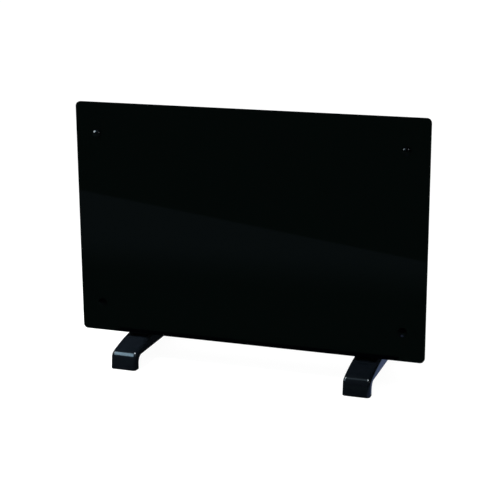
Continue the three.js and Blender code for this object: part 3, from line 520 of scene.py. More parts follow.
# Low glowing cards that only reflections see: the dim room, the table's edge in the glass, and the floor by
# the feet; the band card's fade and the dark toe and inner cards are painted shade of the floor near and
# under the heater.
cards = {
    "height": 0.5 * mm,
    "roomBox": [(-6, -6), (6, 6)],
    "roomColor": (0.022, 0.044, 0.038),
    "roomHeight": 0.2 * mm,
    "bandLine": [(0.142, -0.826), (-0.885, -1.242)],
    "bandFar": -1.5,
    "bandNear": -0.45,
    "bandSides": (-1.4, 0.8),
    # between these the band card fades to the room's colour towards the heater: painted shade on the floor
    # near it
    "fadeFrom": -0.84,
    "fadeTo": -0.5,
    "bandColor": (0.052, 0.078, 0.084),
    "sideBox": [(0.228, -0.16), (0.3, 0.3)],
    "sideColor": (0.15, 0.2, 0.36),
    # a near-black card before the feet: painted shade of the floor in front of the heater, as the feet's
    # fronts reflect it
    "toeShadeBox": [(-0.3, -0.205), (0.226, -0.111)],
    "toeShadeColor": (0.003, 0.004, 0.01),
    # a dark card under the heater: painted shade of the floor beneath it, as reflections see it
    "innerShadeBox": [(-0.175, -0.11), (0.1, 0.25)],
    "innerShadeColor": (0.008, 0.01, 0.012),
}


def addCard(name, low, high, color, height=cards["height"]):
    bpy.ops.object.select_all(action="DESELECT")
    middle = ((low[0] + high[0]) / 2, (low[1] + high[1]) / 2, height)
    bpy.ops.mesh.primitive_plane_add(size=1, location=middle)
    card = bpy.context.object
    card.scale = (high[0] - low[0], high[1] - low[1], 1)
    card = settle(name)
    glow = bpy.data.materials.new(name)
    glow.use_nodes = True
    tree = glow.node_tree
    tree.nodes.remove(tree.nodes["Principled BSDF"])
    emit = addNode(tree, "Emission", Color=(*color, 1))
    tree.links.new(emit.outputs["Emission"], tree.nodes["Material Output"].inputs["Surface"])
    card.data.materials.append(glow)
    card.visible_camera = card.visible_diffuse = card.visible_shadow = card.visible_transmission = False
    return card, emit, tree


def makeBandCard():
    left, right = cards["bandSides"]
    far, near = (left, cards["bandFar"]), (right, cards["bandNear"])
    card, emit, tree = addCard("bandCard", far, near, cards["bandColor"])
    (x0, y0), (x1, y1) = cards["bandLine"]
    startEdit(card)
    bpy.ops.mesh.select_all(action="SELECT")
    bpy.ops.mesh.bisect(plane_co=(x0, y0, 0), plane_no=(y0 - y1, x1 - x0, 0), clear_outer=True)
    endEdit()
    place = addNode(tree, "TexCoord")
    axes = addNode(tree, "SeparateXYZ")
    # the fade to the room's colour towards the heater is painted shade of the floor near it
    fade = addRange(tree, (cards["fadeTo"], cards["fadeFrom"]), 0, 1)
    fade.interpolation_type = "SMOOTHSTEP"
    tint = addNode(tree, "Mix")
    tint.data_type = "RGBA"
    tint.inputs["A"].default_value = (*cards["roomColor"], 1)
    tint.inputs["B"].default_value = (*cards["bandColor"], 1)
    tree.links.new(place.outputs["Object"], axes.inputs["Vector"])
    tree.links.new(axes.outputs["Y"], fade.inputs["Value"])
    tree.links.new(fade.outputs["Result"], tint.inputs["Factor"])
    tree.links.new(tint.outputs["Result"], emit.inputs["Color"])


def makeStudio():
    bpy.ops.mesh.primitive_plane_add(size=studio["floorSize"])
    floor = bpy.context.object
    floor.name = "studioFloor"
    floor.visible_glossy = False
    pale = newFinish("paleFloor", studio["floorColor"], 0.9)
    shader = pale.node_tree.nodes["Principled BSDF"]
    shader.inputs["Specular IOR Level"].default_value = 0.0
    shader.inputs["Emission Color"].default_value = (1, 1, 1, 1)
    shader.inputs["Emission Strength"].default_value = studio["floorGlow"]
    floor.data.materials.append(pale)
    sky = bpy.data.worlds.new("studioSky")
    bpy.context.scene.world = sky
    sky.use_nodes = True
    sky.node_tree.nodes["Background"].inputs["Color"].default_value = (1, 1, 1, 1)
    sky.node_tree.nodes["Background"].inputs["Strength"].default_value = studio["skyStrength"]
    sky.cycles_visibility.glossy = False
    for name, light in {**studio["lights"], **studio["glints"]}.items():
        addLight(name, light)
    addCard("roomCard", *cards["roomBox"], cards["roomColor"], cards["roomHeight"])
    makeBandCard()
    addCard("sideCard", *cards["sideBox"], cards["sideColor"])
    addCard("toeCard", *cards["toeShadeBox"], cards["toeShadeColor"])
    addCard("innerCard", *cards["innerShadeBox"], cards["innerShadeColor"])
    bpy.context.scene.view_settings.view_transform = "Standard"


makeCamera()
makeStudio()
print("camera and studio ready")

# Glass front and its fixings.

corners = ["top_left", "top_right", "bottom_left", "bottom_right"]
caps = ["cap_" + corner for corner in corners]
standoffs = ["standoff_" + corner for corner in corners]


def centreOf(node):
    low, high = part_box(node)
    return (low + high) / 2


# The first piece stands at the first node; the others are its copies, each at its own node.
def dressAlike(first, names, slotName, nodes):
    home = centreOf(nodes[0])
    for name, node in zip(names, nodes):
        piece = first if node == nodes[0] else copyPiece(first, name, centreOf(node) - home)
        dress(piece, slotName, node)


# A drill for each node, in line with its middle and set on the axis where the sheet is.
def addDrills(nodes, axis, place, radius, length, sides=24):
    drills = []
    for node in nodes:
        at = centreOf(node)
        at["XYZ".index(axis)] = place
        drills.append(addDrum("hole", at, radius, length, axis, sides))
    return drills


def namesFor(start, places):
    return [start + place.title().replace("_", "") for place in places]


glass = {"corner": 8 * mm, "cornerSteps": 12, "arris": 0.8 * mm, "hole": 4.3 * mm, "drill": 20 * mm}


def makeGlass():
    low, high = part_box("front_glass")
    pane = addBlock("frontGlass", low, high)
    startEdit(pane)
    roundEdges(lambda e: runsAlong(e, "Y"), glass["corner"], glass["cornerSteps"])
    roundEdges(lambda e: liesAt(e, "Y", low.y) or liesAt(e, "Y", high.y), glass["arris"])
    endEdit()
    holes = addDrills(caps, "Y", (low.y + high.y) / 2, glass["hole"], glass["drill"], 32)
    cut(pane, joinPieces(holes))
    dress(pane, "glass", "front_glass")


cap = {
    "rim": 1.2 * mm,
    "sides": 64,
    "domeRings": 12,
    "skirt": 1.0 * mm,
    "flangeRoom": 1.8 * mm,
    "headRim": 2.4 * mm,
    "headRoom": 2.3 * mm,
}


def makeCaps():
    low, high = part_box(caps[0])
    radius = (high.x - low.x) / 2
    rise = high.y - low.y - cap["rim"]
    domeRadius = (radius**2 + rise**2) / (2 * rise)
    spread = math.asin(radius / domeRadius)
    rings = [(radius, high.y), (radius, high.y - cap["rim"])]
    for i in range(1, cap["domeRings"]):
        angle = spread * (1 - i / cap["domeRings"])
        rings.append((domeRadius * math.sin(angle), low.y + domeRadius * (1 - math.cos(angle))))
    centre = (low + high) / 2
    first = addTurned("capTopLeft", centre, "Y", rings, cap["sides"])
    startEdit(first)
    choose("FACE", lambda f: liesAt(f, "Y", rings[-1][1]))
    bpy.ops.mesh.poke()
    choose("VERT", lambda v: (v.co - centre).xz.length < hair)
    bpy.ops.transform.translate(value=(0, low.y - rings[-1][1], 0))
    choose("FACE", lambda f: liesAt(f, "Y", high.y))
    bpy.ops.mesh.inset(thickness=cap["skirt"], depth=0)
    pushFace((0, -cap["flangeRoom"], 0))
    bpy.ops.mesh.inset(thickness=cap["headRim"], depth=0)
    pushFace((0, -cap["headRoom"], 0))
    endEdit()
    dressAlike(first, namesFor("cap", corners), "cap_plastic", caps)


spacer = {"bore": 2.3 * mm, "drill": 20 * mm, "edge": 0.5 * mm}


def makeSpacers():
    low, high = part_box(standoffs[0])
    centre = (low + high) / 2
    first = addDrum("spacerTopLeft", centre, (high.z - low.z) / 2, high.y - low.y, "Y")
    soften(first, isSharp, spacer["edge"])
    cut(first, addDrum("bore", centre, spacer["bore"], spacer["drill"], "Y", 24))
    dressAlike(first, namesFor("spacer", corners), "rubber", standoffs)


makeGlass()
makeCaps()
makeSpacers()
print("glass and its fixings ready")

# Feet.

footEnds = ["left_front", "left_rear", "right_front", "right_rear"]

foot = {
    "crownHeight": 44.2 * mm,
    "crownRadius": 347 * mm,
    "stations": 22,
    "noseRoom": 16 * mm,
    "draft": 3 * mm,
    "bevels": {"nose": 10.5 * mm, "toe": 6 * mm, "shoulder": 6.5 * mm},
    "bevelSteps": 8,
    "nearEnd": 4 * mm,  # the reach of what counts as an end
    "nearFloor": 5 * mm,  # and as the bottom edge
    "overcut": 5 * mm,  # how far a cutter runs past what it cuts
    "archHeight": 22 * mm,
    "archRadius": 12 * mm,
    "archSteps": 12,
    "endThickness": 15 * mm,
    "archEdge": 1.2 * mm,
    "baseEdge": 0.7 * mm,
    "saddleHalfWidth": 20 * mm,
    "saddleFront": -36 * mm,
    "saddleBack": 28 * mm,
    "saddleCorner": 7 * mm,
    "saddleEdge": 0.8 * mm,
    "saddleHollow": 3 * mm,  # where it starts, over the arch's top
    "wall": 2.8 * mm,
    "coreEnd": 88 * mm,
    "coreDrop": 4 * mm,  # how far the core starts under the arch's top
    "coreRoom": 8 * mm,
    "rib": 2 * mm,
    "ribPitch": 26 * mm,
    "ribCount": 6,
    "ribRecess": 2 * mm,
    "boss": 5.5 * mm,
    "bossFrom": 10 * mm,
    "bossHeight": 33.3 * mm,
    "screwHole": 2.3 * mm,
    "holeUnder": 1 * mm,
    "screwPlaces": (-26 * mm, 18 * mm),
}


def crownAt(y):
    radius = foot["crownRadius"]
    return foot["crownHeight"] - radius + math.sqrt(radius * radius - y * y)


# A block whose top follows the foot's long arc, some way under it.
def addCrownedBlock(name, low, high, base, under, endRoom):
    top = base + foot["crownHeight"] - under
    block = addBlock(name, low, (high[0], high[1], top))
    startEdit(block)
    for y in (low[1] + endRoom, high[1] - endRoom):
        bpy.ops.mesh.select_all(action="SELECT")
        bpy.ops.mesh.bisect(plane_co=(0, y, 0), plane_no=(0, 1, 0))
    choose("EDGE", lambda e: runsAlong(e, "Y") and abs(middleOf(e).y) < 1 * mm)
    bpy.ops.mesh.subdivide(number_cuts=foot["stations"])
    mesh = bmesh.from_edit_mesh(block.data)
    for y in sorted({round(v.co.y, 6) for v in mesh.verts}):
        choose("VERT", lambda v: abs(v.co.y - y) < hair and abs(v.co.z - top) < hair)
        bpy.ops.transform.translate(value=(0, 0, crownAt(y) - foot["crownHeight"]))
    endEdit()
    return block


# The bridge before it is hollowed: nose, toe corners and shoulders rounded into one another.
def makeFootOutside(low, high):
    base = low.z
    shell = addCrownedBlock("footLeft", low, high, base, 0, foot["noseRoom"])
    startEdit(shell)
    offFloor, nearEnd = base + foot["nearFloor"], high.y - foot["nearEnd"]
    for end in (-1, 1):
        choose("VERT", lambda v: v.co.y * end > high.y - nearly and v.co.z > offFloor)
        bpy.ops.transform.translate(value=(0, -end * foot["draft"], 0))
    widest = max(foot["bevels"].values())
    noseTop = base + crownAt(high.y)

    def onShoulder(edge):
        return isSharp(edge) and not runsAlong(edge, "X") and min(v.co.z for v in edge.verts) > offFloor

    tests = {
        "nose": lambda e: runsAlong(e, "X") and abs(middleOf(e).y) > nearEnd and liesAt(e, "Z", noseTop),
        "toe": lambda e: not runsAlong(e, "X") and min(abs(v.co.y) for v in e.verts) > nearEnd,
        "shoulder": onShoulder,
    }
    for name, test in tests.items():
        choose("EDGE", test)
        bpy.ops.transform.edge_bevelweight(value=foot["bevels"][name] / widest)
    endEdit()
    rounding = {"limit_method": "WEIGHT", "width": widest, "segments": foot["bevelSteps"]}
    applyModifier(shell, "BEVEL", **rounding, use_clamp_overlap=False)
    cutArch(shell, low, high)
    return shell


def cutArch(shell, low, high):
    base, over = low.z, foot["overcut"]
    inner = high.y - foot["endThickness"]
    archTop = base + foot["archHeight"]
    arch = addBlock("arch", (low.x - over, -inner, base - 2 * over), (high.x + over, inner, archTop))
    radius, steps = foot["archRadius"], foot["archSteps"]
    soften(arch, lambda e: runsAlong(e, "X") and liesAt(e, "Z", archTop), radius, steps)
    cut(shell, arch)

    def edgesArch(edge):
        onSide = liesAt(edge, "X", low.x) or liesAt(edge, "X", high.x)
        return onSide and abs(middleOf(edge).y) < inner + nearly and isSharp(edge)

    startEdit(shell)
    roundEdges(edgesArch, foot["archEdge"])
    roundEdges(lambda e: liesAt(e, "Z", base) and isSharp(e), foot["baseEdge"], 2)
    endEdit()


def addSaddle(low, high):
    middle = (low.x + high.x) / 2
    half = foot["saddleHalfWidth"]
    bottom = low.z + (foot["archHeight"] + foot["crownHeight"]) / 2
    front, back = foot["saddleFront"], foot["saddleBack"]
    saddle = addBlock("saddle", (middle - half, front, bottom), (middle + half, back, high.z))
    startEdit(saddle)
    roundEdges(lambda e: runsAlong(e, "Z"), foot["saddleCorner"], 6)
    roundEdges(lambda e: liesAt(e, "Z", high.z), foot["saddleEdge"], 2)
    endEdit()
    return saddle


# What is taken out from below: the cells between the ribs, round the two screw bosses.
def makeFootCore(low, high):
    base = low.z
    wall, rib, end = foot["wall"], foot["rib"], foot["coreEnd"]
    middle = (low.x + high.x) / 2
    above = high.z + foot["overcut"]
    archTop = base + foot["archHeight"]
    recess = archTop + foot["ribRecess"]
    corner = (low.x + wall, -end, archTop - foot["coreDrop"])
    core = addCrownedBlock("core", corner, (high.x - wall, end), base, wall, foot["coreRoom"])
    inside = foot["saddleHalfWidth"] - wall
    hollow = addBlock(
        "saddleHollow",
        (middle - inside, foot["saddleFront"] + wall, archTop + foot["saddleHollow"]),
        (middle + inside, foot["saddleBack"] - wall, high.z - wall),
    )
    fuse(core, hollow)
    ribs = []
    for i in range(foot["ribCount"]):
        y = (i - (foot["ribCount"] - 1) / 2) * foot["ribPitch"]
        ribs.append(addBlock("rib", (low.x - rib, y - rib / 2, recess), (high.x + rib, y + rib / 2, above)))
    cut(core, joinPieces(ribs))
    spine = addBlock("spine", (middle - rib / 2, -end - rib, recess), (middle + rib / 2, end + rib, above))
    cut(core, spine)
    seat = base + foot["bossHeight"]

    def upright(radius, bottom, top, sides):
        height = top - bottom
        drums = [
            addDrum("upright", (middle, y, bottom + height / 2), radius, height, "Z", sides)
            for y in foot["screwPlaces"]
        ]
        return joinPieces(drums)

    cut(core, upright(foot["boss"], seat, above, 32))
    fuse(core, upright(foot["boss"], base + foot["bossFrom"], seat, 32))
    fuse(core, upright(foot["screwHole"], seat - foot["holeUnder"], above, 20))
    return core


pad = {"pocketGap": 0.3 * mm, "edge": 0.35 * mm, "end": 0.48, "endSteps": 8}  # end: of its width


def addPadForm(name, low, high):
    form = addBlock(name, low, high)
    soften(form, lambda e: runsAlong(e, "Z"), (high[1] - low[1]) * pad["end"], pad["endSteps"])
    return form


def makeFeet():
    low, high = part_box("foot_left")
    shell = makeFootOutside(low, high)
    fuse(shell, addSaddle(low, high))
    cut(shell, makeFootCore(low, high))
    gap = Vector((1, 1, 1)) * pad["pocketGap"]
    pockets = []
    for end in ("front", "rear"):
        padLow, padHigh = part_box("foot_pad_left_" + end)
        pockets.append(addPadForm("pocket", padLow - gap, padHigh + gap))
    cut(shell, joinPieces(pockets))
    other = copyPiece(shell, "footRight", centreOf("foot_right") - centreOf("foot_left"))
    dress(shell, "foot_plastic", "foot_left")
    dress(other, "foot_plastic", "foot_right")


def makePads():
    low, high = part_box("foot_pad_left_front")
    first = addPadForm("padLeftFront", low, high)
    soften(first, lambda e: liesAt(e, "Z", low.z), pad["edge"], 2)
    dressAlike(first, namesFor("pad", footEnds), "rubber", ["foot_pad_" + end for end in footEnds])


makeFeet()
makePads()
print("feet ready")

# Casing.

tray = {
    "corner": 12 * mm,
    "cornerSteps": 10,
    "edge": 1.2 * mm,
    "sheet": 1 * mm,
    "window": (496 * mm, 312 * mm),
    "mouth": (514 * mm, 338 * mm),
    "openingCorner": 6 * mm,
    "slotLength": 52 * mm,
    "slotWidth": 5 * mm,
    "slotEnd": 0.49,  # of its width
    "slotPitch": 66 * mm,
    "rowPitch": 14 * mm,
    "slotsAbove": 7,
    "slotsBelow": 5,  # none over the feet
    "panelHole": (34.6 * mm, 104.6 * mm),
    "panelCorner": 5 * mm,
    "screwHole": 2.3 * mm,
    "coverHole": 1.9 * mm,
    "overcut": 5 * mm,
}
coverScrews = ["cover_screw_%d" % (i + 1) for i in range(6)]
footScrews = ["foot_screw_" + end for end in footEnds]


def addSlots(middle, z, count):
    length, width = tray["slotLength"], tray["slotWidth"]
    left = middle.x - tray["slotPitch"] * (count - 1) / 2
    front = middle.y - tray["rowPitch"] / 2
    reach = 3 * tray["sheet"]
    near = (left - length / 2, front - width / 2, z - reach)
    far = (left + length / 2, front + width / 2, z + reach)
    slots = addRoundedBlock("slots", near, far, "Z", width * tray["slotEnd"])
    repeat(slots, count, (tray["slotPitch"], 0, 0))
    repeat(slots, 2, (0, tray["rowPitch"], 0))
    return slots


def makeTray():
    low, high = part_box("casing_tray")
    middle = (low + high) / 2
    sheet = Vector((1, 1, 1)) * tray["sheet"]
    corner, steps = tray["corner"], tray["cornerSteps"]
    shell = addRoundedBlock("casingTray", low, high, "Y", corner, steps)
    soften(shell, lambda e: liesAt(e, "Y", low.y) or liesAt(e, "Y", high.y), tray["edge"])
    hollow = addRoundedBlock("hollow", low + sheet, high - sheet, "Y", corner - tray["sheet"], steps)
    cut(shell, hollow)
    reach = tray["overcut"]
    cutters = [addSlots(middle, high.z, tray["slotsAbove"]), addSlots(middle, low.z, tray["slotsBelow"])]
    for name, y in (("window", low.y), ("mouth", high.y)):
        half = Vector((tray[name][0] / 2, reach, tray[name][1] / 2))
        at = Vector((middle.x, y, middle.z))
        cutters.append(addRoundedBlock(name, at - half, at + half, "Y", tray["openingCorner"]))
    half = Vector((reach, tray["panelHole"][0] / 2, tray["panelHole"][1] / 2))
    at = Vector((high.x, middle.y, centreOf("control_plate").z))
    cutters.append(addRoundedBlock("panelHole", at - half, at + half, "X", tray["panelCorner"]))
    cutters += addDrills(caps, "Y", low.y, tray["screwHole"], 2 * reach)
    cutters += addDrills(coverScrews, "Y", high.y, tray["coverHole"], 2 * reach)
    cutters += addDrills(footScrews, "Z", low.z, tray["screwHole"], 2 * reach)
    cut(shell, joinPieces(cutters))
    dress(shell, "steel_paint", "casing_tray")


cover = {
    "sheet": 1 * mm,
    "edge": 0.4 * mm,
    "fieldInset": 30 * mm,
    "fieldCorner": 16 * mm,
    "fieldSlope": 7 * mm,
    "fieldRise": 8 * mm,
    "fieldEdge": 3 * mm,
    "footEdge": 1.6 * mm,
    "inletHole": 6.8 * mm,
    "drill": 10 * mm,
}

louvre = {
    "length": 60 * mm,
    "height": 10 * mm,
    "rise": 3.6 * mm,
    "root": 0.5 * mm,
    "endRun": 7 * mm,
    "lean": 1.2 * mm,
    "round": 2.2 * mm,
    "mouthDrop": 0.4 * mm,
    "columns": 6,
    "columnPitch": 72 * mm,
    "rowPitch": 20 * mm,
    "bandPitch": 196 * mm,
}


# The raised field, or the same form one sheet inside it.
def addField(low, high, inward):
    edge = cover["fieldInset"] + inward
    back = low.y + cover["sheet"] + cover["fieldRise"] - inward
    front = low.y - inward
    near, far = (low.x + edge, front, low.z + edge), (high.x - edge, back, high.z - edge)
    form = addRoundedBlock("field", near, far, "Y", cover["fieldCorner"] - inward, 8)
    startEdit(form)
    choose("VERT", lambda v: v.co.y > (front + back) / 2)
    width, height = high.x - low.x - 2 * edge, high.z - low.z - 2 * edge
    slope = 2 * cover["fieldSlope"]
    bpy.ops.transform.resize(value=(1 - slope / width, 1, 1 - slope / height))
    roundEdges(lambda e: liesAt(e, "Y", back), cover["fieldEdge"] - inward, 4)
    endEdit()
    return form


# All the louvre hoods, mouths down; with a sheet's thickness inward, what opens their mouths.
def addLouvres(middle, fieldBack, inward):
    half = louvre["length"] / 2 - inward
    top = louvre["height"] / 2 - inward
    bottom = -louvre["height"] / 2 - louvre["mouthDrop"] * inward / cover["sheet"]
    crest = louvre["rise"] - inward
    form = addBlock("louvres", (-half, -louvre["root"] - inward, bottom), (half, crest, top))
    startEdit(form)
    choose("VERT", lambda v: v.co.y > 0)
    bpy.ops.transform.resize(value=(1 - louvre["endRun"] / half, 1, 1))
    choose("VERT", lambda v: v.co.y > 0 and v.co.z > 0)
    bpy.ops.transform.translate(value=(0, 0, -louvre["lean"]))
    roundEdges(lambda e: middleOf(e).y > 0 and not liesAt(e, "Z", bottom), louvre["round"] - inward, 4)
    endEdit()
    across = louvre["columnPitch"] * (louvre["columns"] - 1) / 2
    down = (louvre["rowPitch"] + louvre["bandPitch"]) / 2
    standAt(form, (middle.x - across, fieldBack, middle.z - down))
    repeat(form, louvre["columns"], (louvre["columnPitch"], 0, 0))
    repeat(form, 2, (0, 0, louvre["rowPitch"]))
    repeat(form, 2, (0, 0, louvre["bandPitch"]))
    return form


def makeCover():
    low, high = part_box("rear_cover")
    middle = (low + high) / 2
    rimBack = low.y + cover["sheet"]
    fieldBack = rimBack + cover["fieldRise"]
    corner, steps = tray["corner"], tray["cornerSteps"]
    sheet = addRoundedBlock("rearCover", low, (high.x, rimBack, high.z), "Y", corner, steps)
    soften(sheet, lambda e: liesAt(e, "Y", rimBack), cover["edge"], 2)
    fuse(sheet, addField(low, high, 0))
    fieldEnd = high.x - cover["fieldInset"] + 1 * mm

    def edgesField(edge):
        inField = max(abs(v.co.x) for v in edge.verts) < fieldEnd
        return liesAt(edge, "Y", rimBack) and isSharp(edge, 0.3) and inField

    soften(sheet, edgesField, cover["footEdge"])
    cut(sheet, addField(low, high, cover["sheet"]))
    fuse(sheet, addLouvres(middle, fieldBack, 0))
    cut(sheet, addLouvres(middle, fieldBack, cover["sheet"]))
    holes = addDrills(coverScrews, "Y", rimBack, tray["coverHole"], cover["drill"])
    holes += addDrills(["cord_gland"], "Y", fieldBack, cover["inletHole"], cover["drill"], 40)
    cut(sheet, joinPieces(holes))
    dress(sheet, "steel_paint", "rear_cover")


screw = {
    "domeEdge": 0.62,  # of the head's height
    "crossLength": 1.25,  # of the head's radius
    "crossWidth": 0.26,
    "crossDepth": 0.6,  # of the head's height
    "tip": (0.7, 0.4),  # the point's radius and length, of the shank's radius
    "headHeight": 2 * mm,
    "coverHead": 3.2 * mm,
    "coverShank": (1.6 * mm, 7 * mm),
    "footHead": 3.8 * mm,
    "footShank": (2 * mm, 30 * mm),
}


# A pan-head screw with a cross recess, its head up and its seat at the origin.
def addScrew(name, headRadius, shank):
    tall = screw["headHeight"]
    radius, length = shank
    narrow, point = screw["tip"]
    shaft = [(radius * narrow, -length), (radius, -length + radius * point), (radius, 0)]
    piece = addTurned(name, (0, 0, 0), "Z", [*shaft, (headRadius, 0), (headRadius, tall)], 40)
    soften(piece, lambda e: liesAt(e, "Z", tall), tall * screw["domeEdge"], 6)
    long, short = headRadius * screw["crossLength"] / 2, headRadius * screw["crossWidth"] / 2
    for x, y in ((long, short), (short, long)):
        recess = addBlock("recess", (-x, -y, tall * (1 - screw["crossDepth"])), (x, y, 2 * tall))
        cut(piece, recess)
    return piece


def makeScrews():
    first = addScrew("coverScrew1", screw["coverHead"], screw["coverShank"])
    home = centreOf(coverScrews[0])
    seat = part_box(coverScrews[0])[1].y - screw["headHeight"]
    standAt(first, (home.x, seat, home.z), (-math.pi / 2, 0, 0))
    dressAlike(first, ["coverScrew%d" % (i + 1) for i in range(6)], "zinc_steel", coverScrews)
    first = addScrew("footScrew1", screw["footHead"], screw["footShank"])
    home = centreOf(footScrews[0])
    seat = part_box(footScrews[0])[0].z + screw["headHeight"]
    standAt(first, (home.x, home.y, seat), (math.pi, 0, 0))
    dressAlike(first, ["footScrew%d" % (i + 1) for i in range(4)], "zinc_steel", footScrews)


gland = {
    "thread": [(6.1, 0), (6.5, 0.5), (6.5, 10)],
    "collar": [(8.5, 10), (9, 10.5), (9, 13.1), (8.6, 13.6), (7.8, 13.6), (7.7, 14.1)],
    "cone": [(7, 18), (6.7, 18.6), (6.2, 19), (4.6, 19), (4.1, 18.6)],
    "bore": 3.8 * mm,
    "grooves": 24,
    "grooveRadius": 0.5 * mm,
    "groovePlace": (9.2 * mm, 12 * mm),
    "grooveLength": 6 * mm,
}


def makeGland():
    low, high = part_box("cord_gland")
    at = (low + high) / 2
    profile = gland["thread"] + gland["collar"] + gland["cone"]
    body = addTurned("cordGland", at, "Y", [(wide * mm, low.y + far * mm) for wide, far in profile])
    length = high.y - low.y
    cut(body, addDrum("bore", at, gland["bore"], 2 * length, "Y", 40))
    grooves = []
    reach, far = gland["groovePlace"]
    for i in range(gland["grooves"]):
        turn = 2 * math.pi * i / gland["grooves"]
        place = (at.x + reach * math.cos(turn), low.y + far, at.z + reach * math.sin(turn))
        grooves.append(addDrum("groove", place, gland["grooveRadius"], gland["grooveLength"], "Y", 10))
    cut(body, joinPieces(grooves))
    dress(body, "nylon", "cord_gland")


makeTray()
makeCover()
makeScrews()
makeGland()
print("casing ready")

# Controls.

plate = {
    "thickness": 2.6 * mm,
    "corner": 7 * mm,
    "edge": 1 * mm,
    "rimInset": 4 * mm,
    "rimWall": 1.6 * mm,
    "rimCorner": 5 * mm,
    "rimSink": 0.5 * mm,  # how far the rim runs into the plate
    "rimCoreCorner": 4 * mm,
    "shaftHole": 3.4 * mm,
    "switchHole": (13.6 * mm, 20.2 * mm),
    "switchHoleCorner": 1 * mm,
    "drill": 40 * mm,
    "overcut": 10 * mm,
    "markFrom": 18.2 * mm,
    "markTo": 19.8 * mm,
    "markWidths": (0.4 * mm, 1.6 * mm),
    "marks": 7,
    "markTurn": 45,
    "markHeight": 0.06 * mm,
}


def makeControlPlate():
    low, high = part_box("control_plate")
    knob, housing = centreOf("thermostat_knob"), centreOf("switch_housing")
    back = high.x - plate["thickness"]
    face = addRoundedBlock("controlPlate", (back, low.y, low.z), high, "X", plate["corner"], 8)
    soften(face, lambda e: liesAt(e, "X", high.x), plate["edge"])
    inset = Vector((0, 1, 1)) * plate["rimInset"]
    wall = Vector((0, 1, 1)) * plate["rimWall"]
    rimHigh = Vector((back + plate["rimSink"], high.y, high.z)) - inset
    rim = addRoundedBlock("rim", low + inset, rimHigh, "X", plate["rimCorner"])
    behind = Vector((-1, 0, 0)) * mm
    inside = Vector((back, high.y, high.z)) - inset - wall
    core = addRoundedBlock("rimCore", low + inset + wall + behind, inside, "X", plate["rimCoreCorner"])
    fuse(face, rim)
    cut(face, core)
    cut(face, addDrum("shaftHole", knob, plate["shaftHole"], plate["drill"], "X", 32))
    half = Vector((0, plate["switchHole"][0] / 2, plate["switchHole"][1] / 2))
    at = Vector((high.x, housing.y, housing.z))
    reach = Vector((plate["overcut"], 0, 0))
    hole = addRoundedBlock("switchHole", at - half - reach, at + half + reach, "X", plate["switchHoleCorner"])
    cut(face, hole)
    dress(face, "control_plastic", "control_plate")
    marks = []
    thin, wide = plate["markWidths"]
    rise = plate["markHeight"]
    for i in range(plate["marks"]):
        half = (thin + (wide - thin) * i / (plate["marks"] - 1)) / 2
        mark = addBlock("dialMarks", (-rise, -half, plate["markFrom"]), (rise, half, plate["markTo"]))
        standAt(mark, (high.x, knob.y, knob.z), (-math.radians(plate["markTurn"] * i), 0, 0))
        marks.append(mark)
    dress(joinPieces(marks), None)


dial = {
    "skirt": [(17.2, 0), (17.5, 0.3), (17.5, 1.6), (17.1, 2)],
    "grip": [(16.5, 2.2), (16.5, 8.6), (16.35, 9.1), (16, 9.6), (15.5, 9.9)],
    "top": [(14.9, 10), (13.8, 9.95), (13.2, 9.7), (12.4, 9.55)],
    "sides": 96,
    "flutes": 12,
    "fluteRadius": 3.4 * mm,
    "fluteDepth": 1 * mm,
    "fluteFrom": 2.8 * mm,
    "wall": 2 * mm,
    "hollow": 14.3 * mm,
    "overcut": 0.5 * mm,
    "hub": 6 * mm,
    "socket": 3.3 * mm,
    "socketDepth": 7.7 * mm,
    "pointer": (1.4 * mm, 8.6 * mm),
    "pointerMiddle": 10.4 * mm,
    "pointerDepth": 0.8 * mm,
    "pointerEnd": 0.4,  # of its width
    "inlay": 0.12 * mm,  # how far the pointer's white lies below the knob's top
}


def makeDial():
    low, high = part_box("thermostat_knob")
    at = (low + high) / 2
    height = high.x - low.x
    profile = dial["skirt"] + dial["grip"] + dial["top"]
    rings = [(wide * mm, low.x + far * mm) for wide, far in profile]
    grip = addTurned("dialKnob", at, "X", rings, dial["sides"])
    away = dial["grip"][0][0] * mm + dial["fluteRadius"] - dial["fluteDepth"]
    along = low.x + dial["fluteFrom"] + height / 2
    flutes = []
    for i in range(dial["flutes"]):
        turn = 2 * math.pi * (i + 0.5) / dial["flutes"]
        place = (along, at.y + away * math.cos(turn), at.z + away * math.sin(turn))
        flutes.append(addDrum("flute", place, dial["fluteRadius"], height, "X", 40))
    cut(grip, joinPieces(flutes))

    def fromBelow(name, radius, depth, sides):
        over = dial["overcut"]
        return addDrum(name, (low.x + depth / 2 - over, at.y, at.z), radius, depth + 2 * over, "X", sides)

    hollow = fromBelow("hollow", dial["hollow"], height - dial["wall"], 48)
    cut(hollow, addDrum("hub", at, dial["hub"], 3 * height, "X", 32))
    cut(grip, hollow)
    cut(grip, fromBelow("socket", dial["socket"], dial["socketDepth"], 32))
    wide, long = dial["pointer"]
    middle = at.z + dial["pointerMiddle"]
    floor = high.x - dial["pointerDepth"]
    near = (floor, at.y - wide / 2, middle - long / 2)
    right, upper = at.y + wide / 2, middle + long / 2
    end = wide * dial["pointerEnd"]
    above = high.x + 2 * dial["overcut"]
    cut(grip, addRoundedBlock("pointerGroove", near, (above, right, upper), "X", end, 4))
    dress(grip, "control_plastic", "thermostat_knob", body="dial")
    top = rings[-1][1] - dial["inlay"]
    inlay = addRoundedBlock("dialPointer", near, (top, right, upper), "X", end, 4)
    dress(inlay, None, body="dial")


switch = {
    "bezel": (1.6 * mm, 15 * mm, 22 * mm),
    "bezelCorner": 1.5 * mm,
    "bezelEdge": 0.5 * mm,
    "body": (20 * mm, 13 * mm, 19.6 * mm),
    "bodyCorner": 0.8 * mm,
    "bodySink": 0.5 * mm,  # how far the body runs into the bezel
    "cavity": (11.2 * mm, 17.8 * mm),
    "cavityDepth": 10.1 * mm,
    "cavityCorner": 0.5 * mm,
    "overcut": 5 * mm,
    "pinHole": 1.5 * mm,
    "drill": 40 * mm,
    "tab": (14 * mm, 4.3 * mm, 0.8 * mm),
    "tabPitch": 6.53 * mm,
}

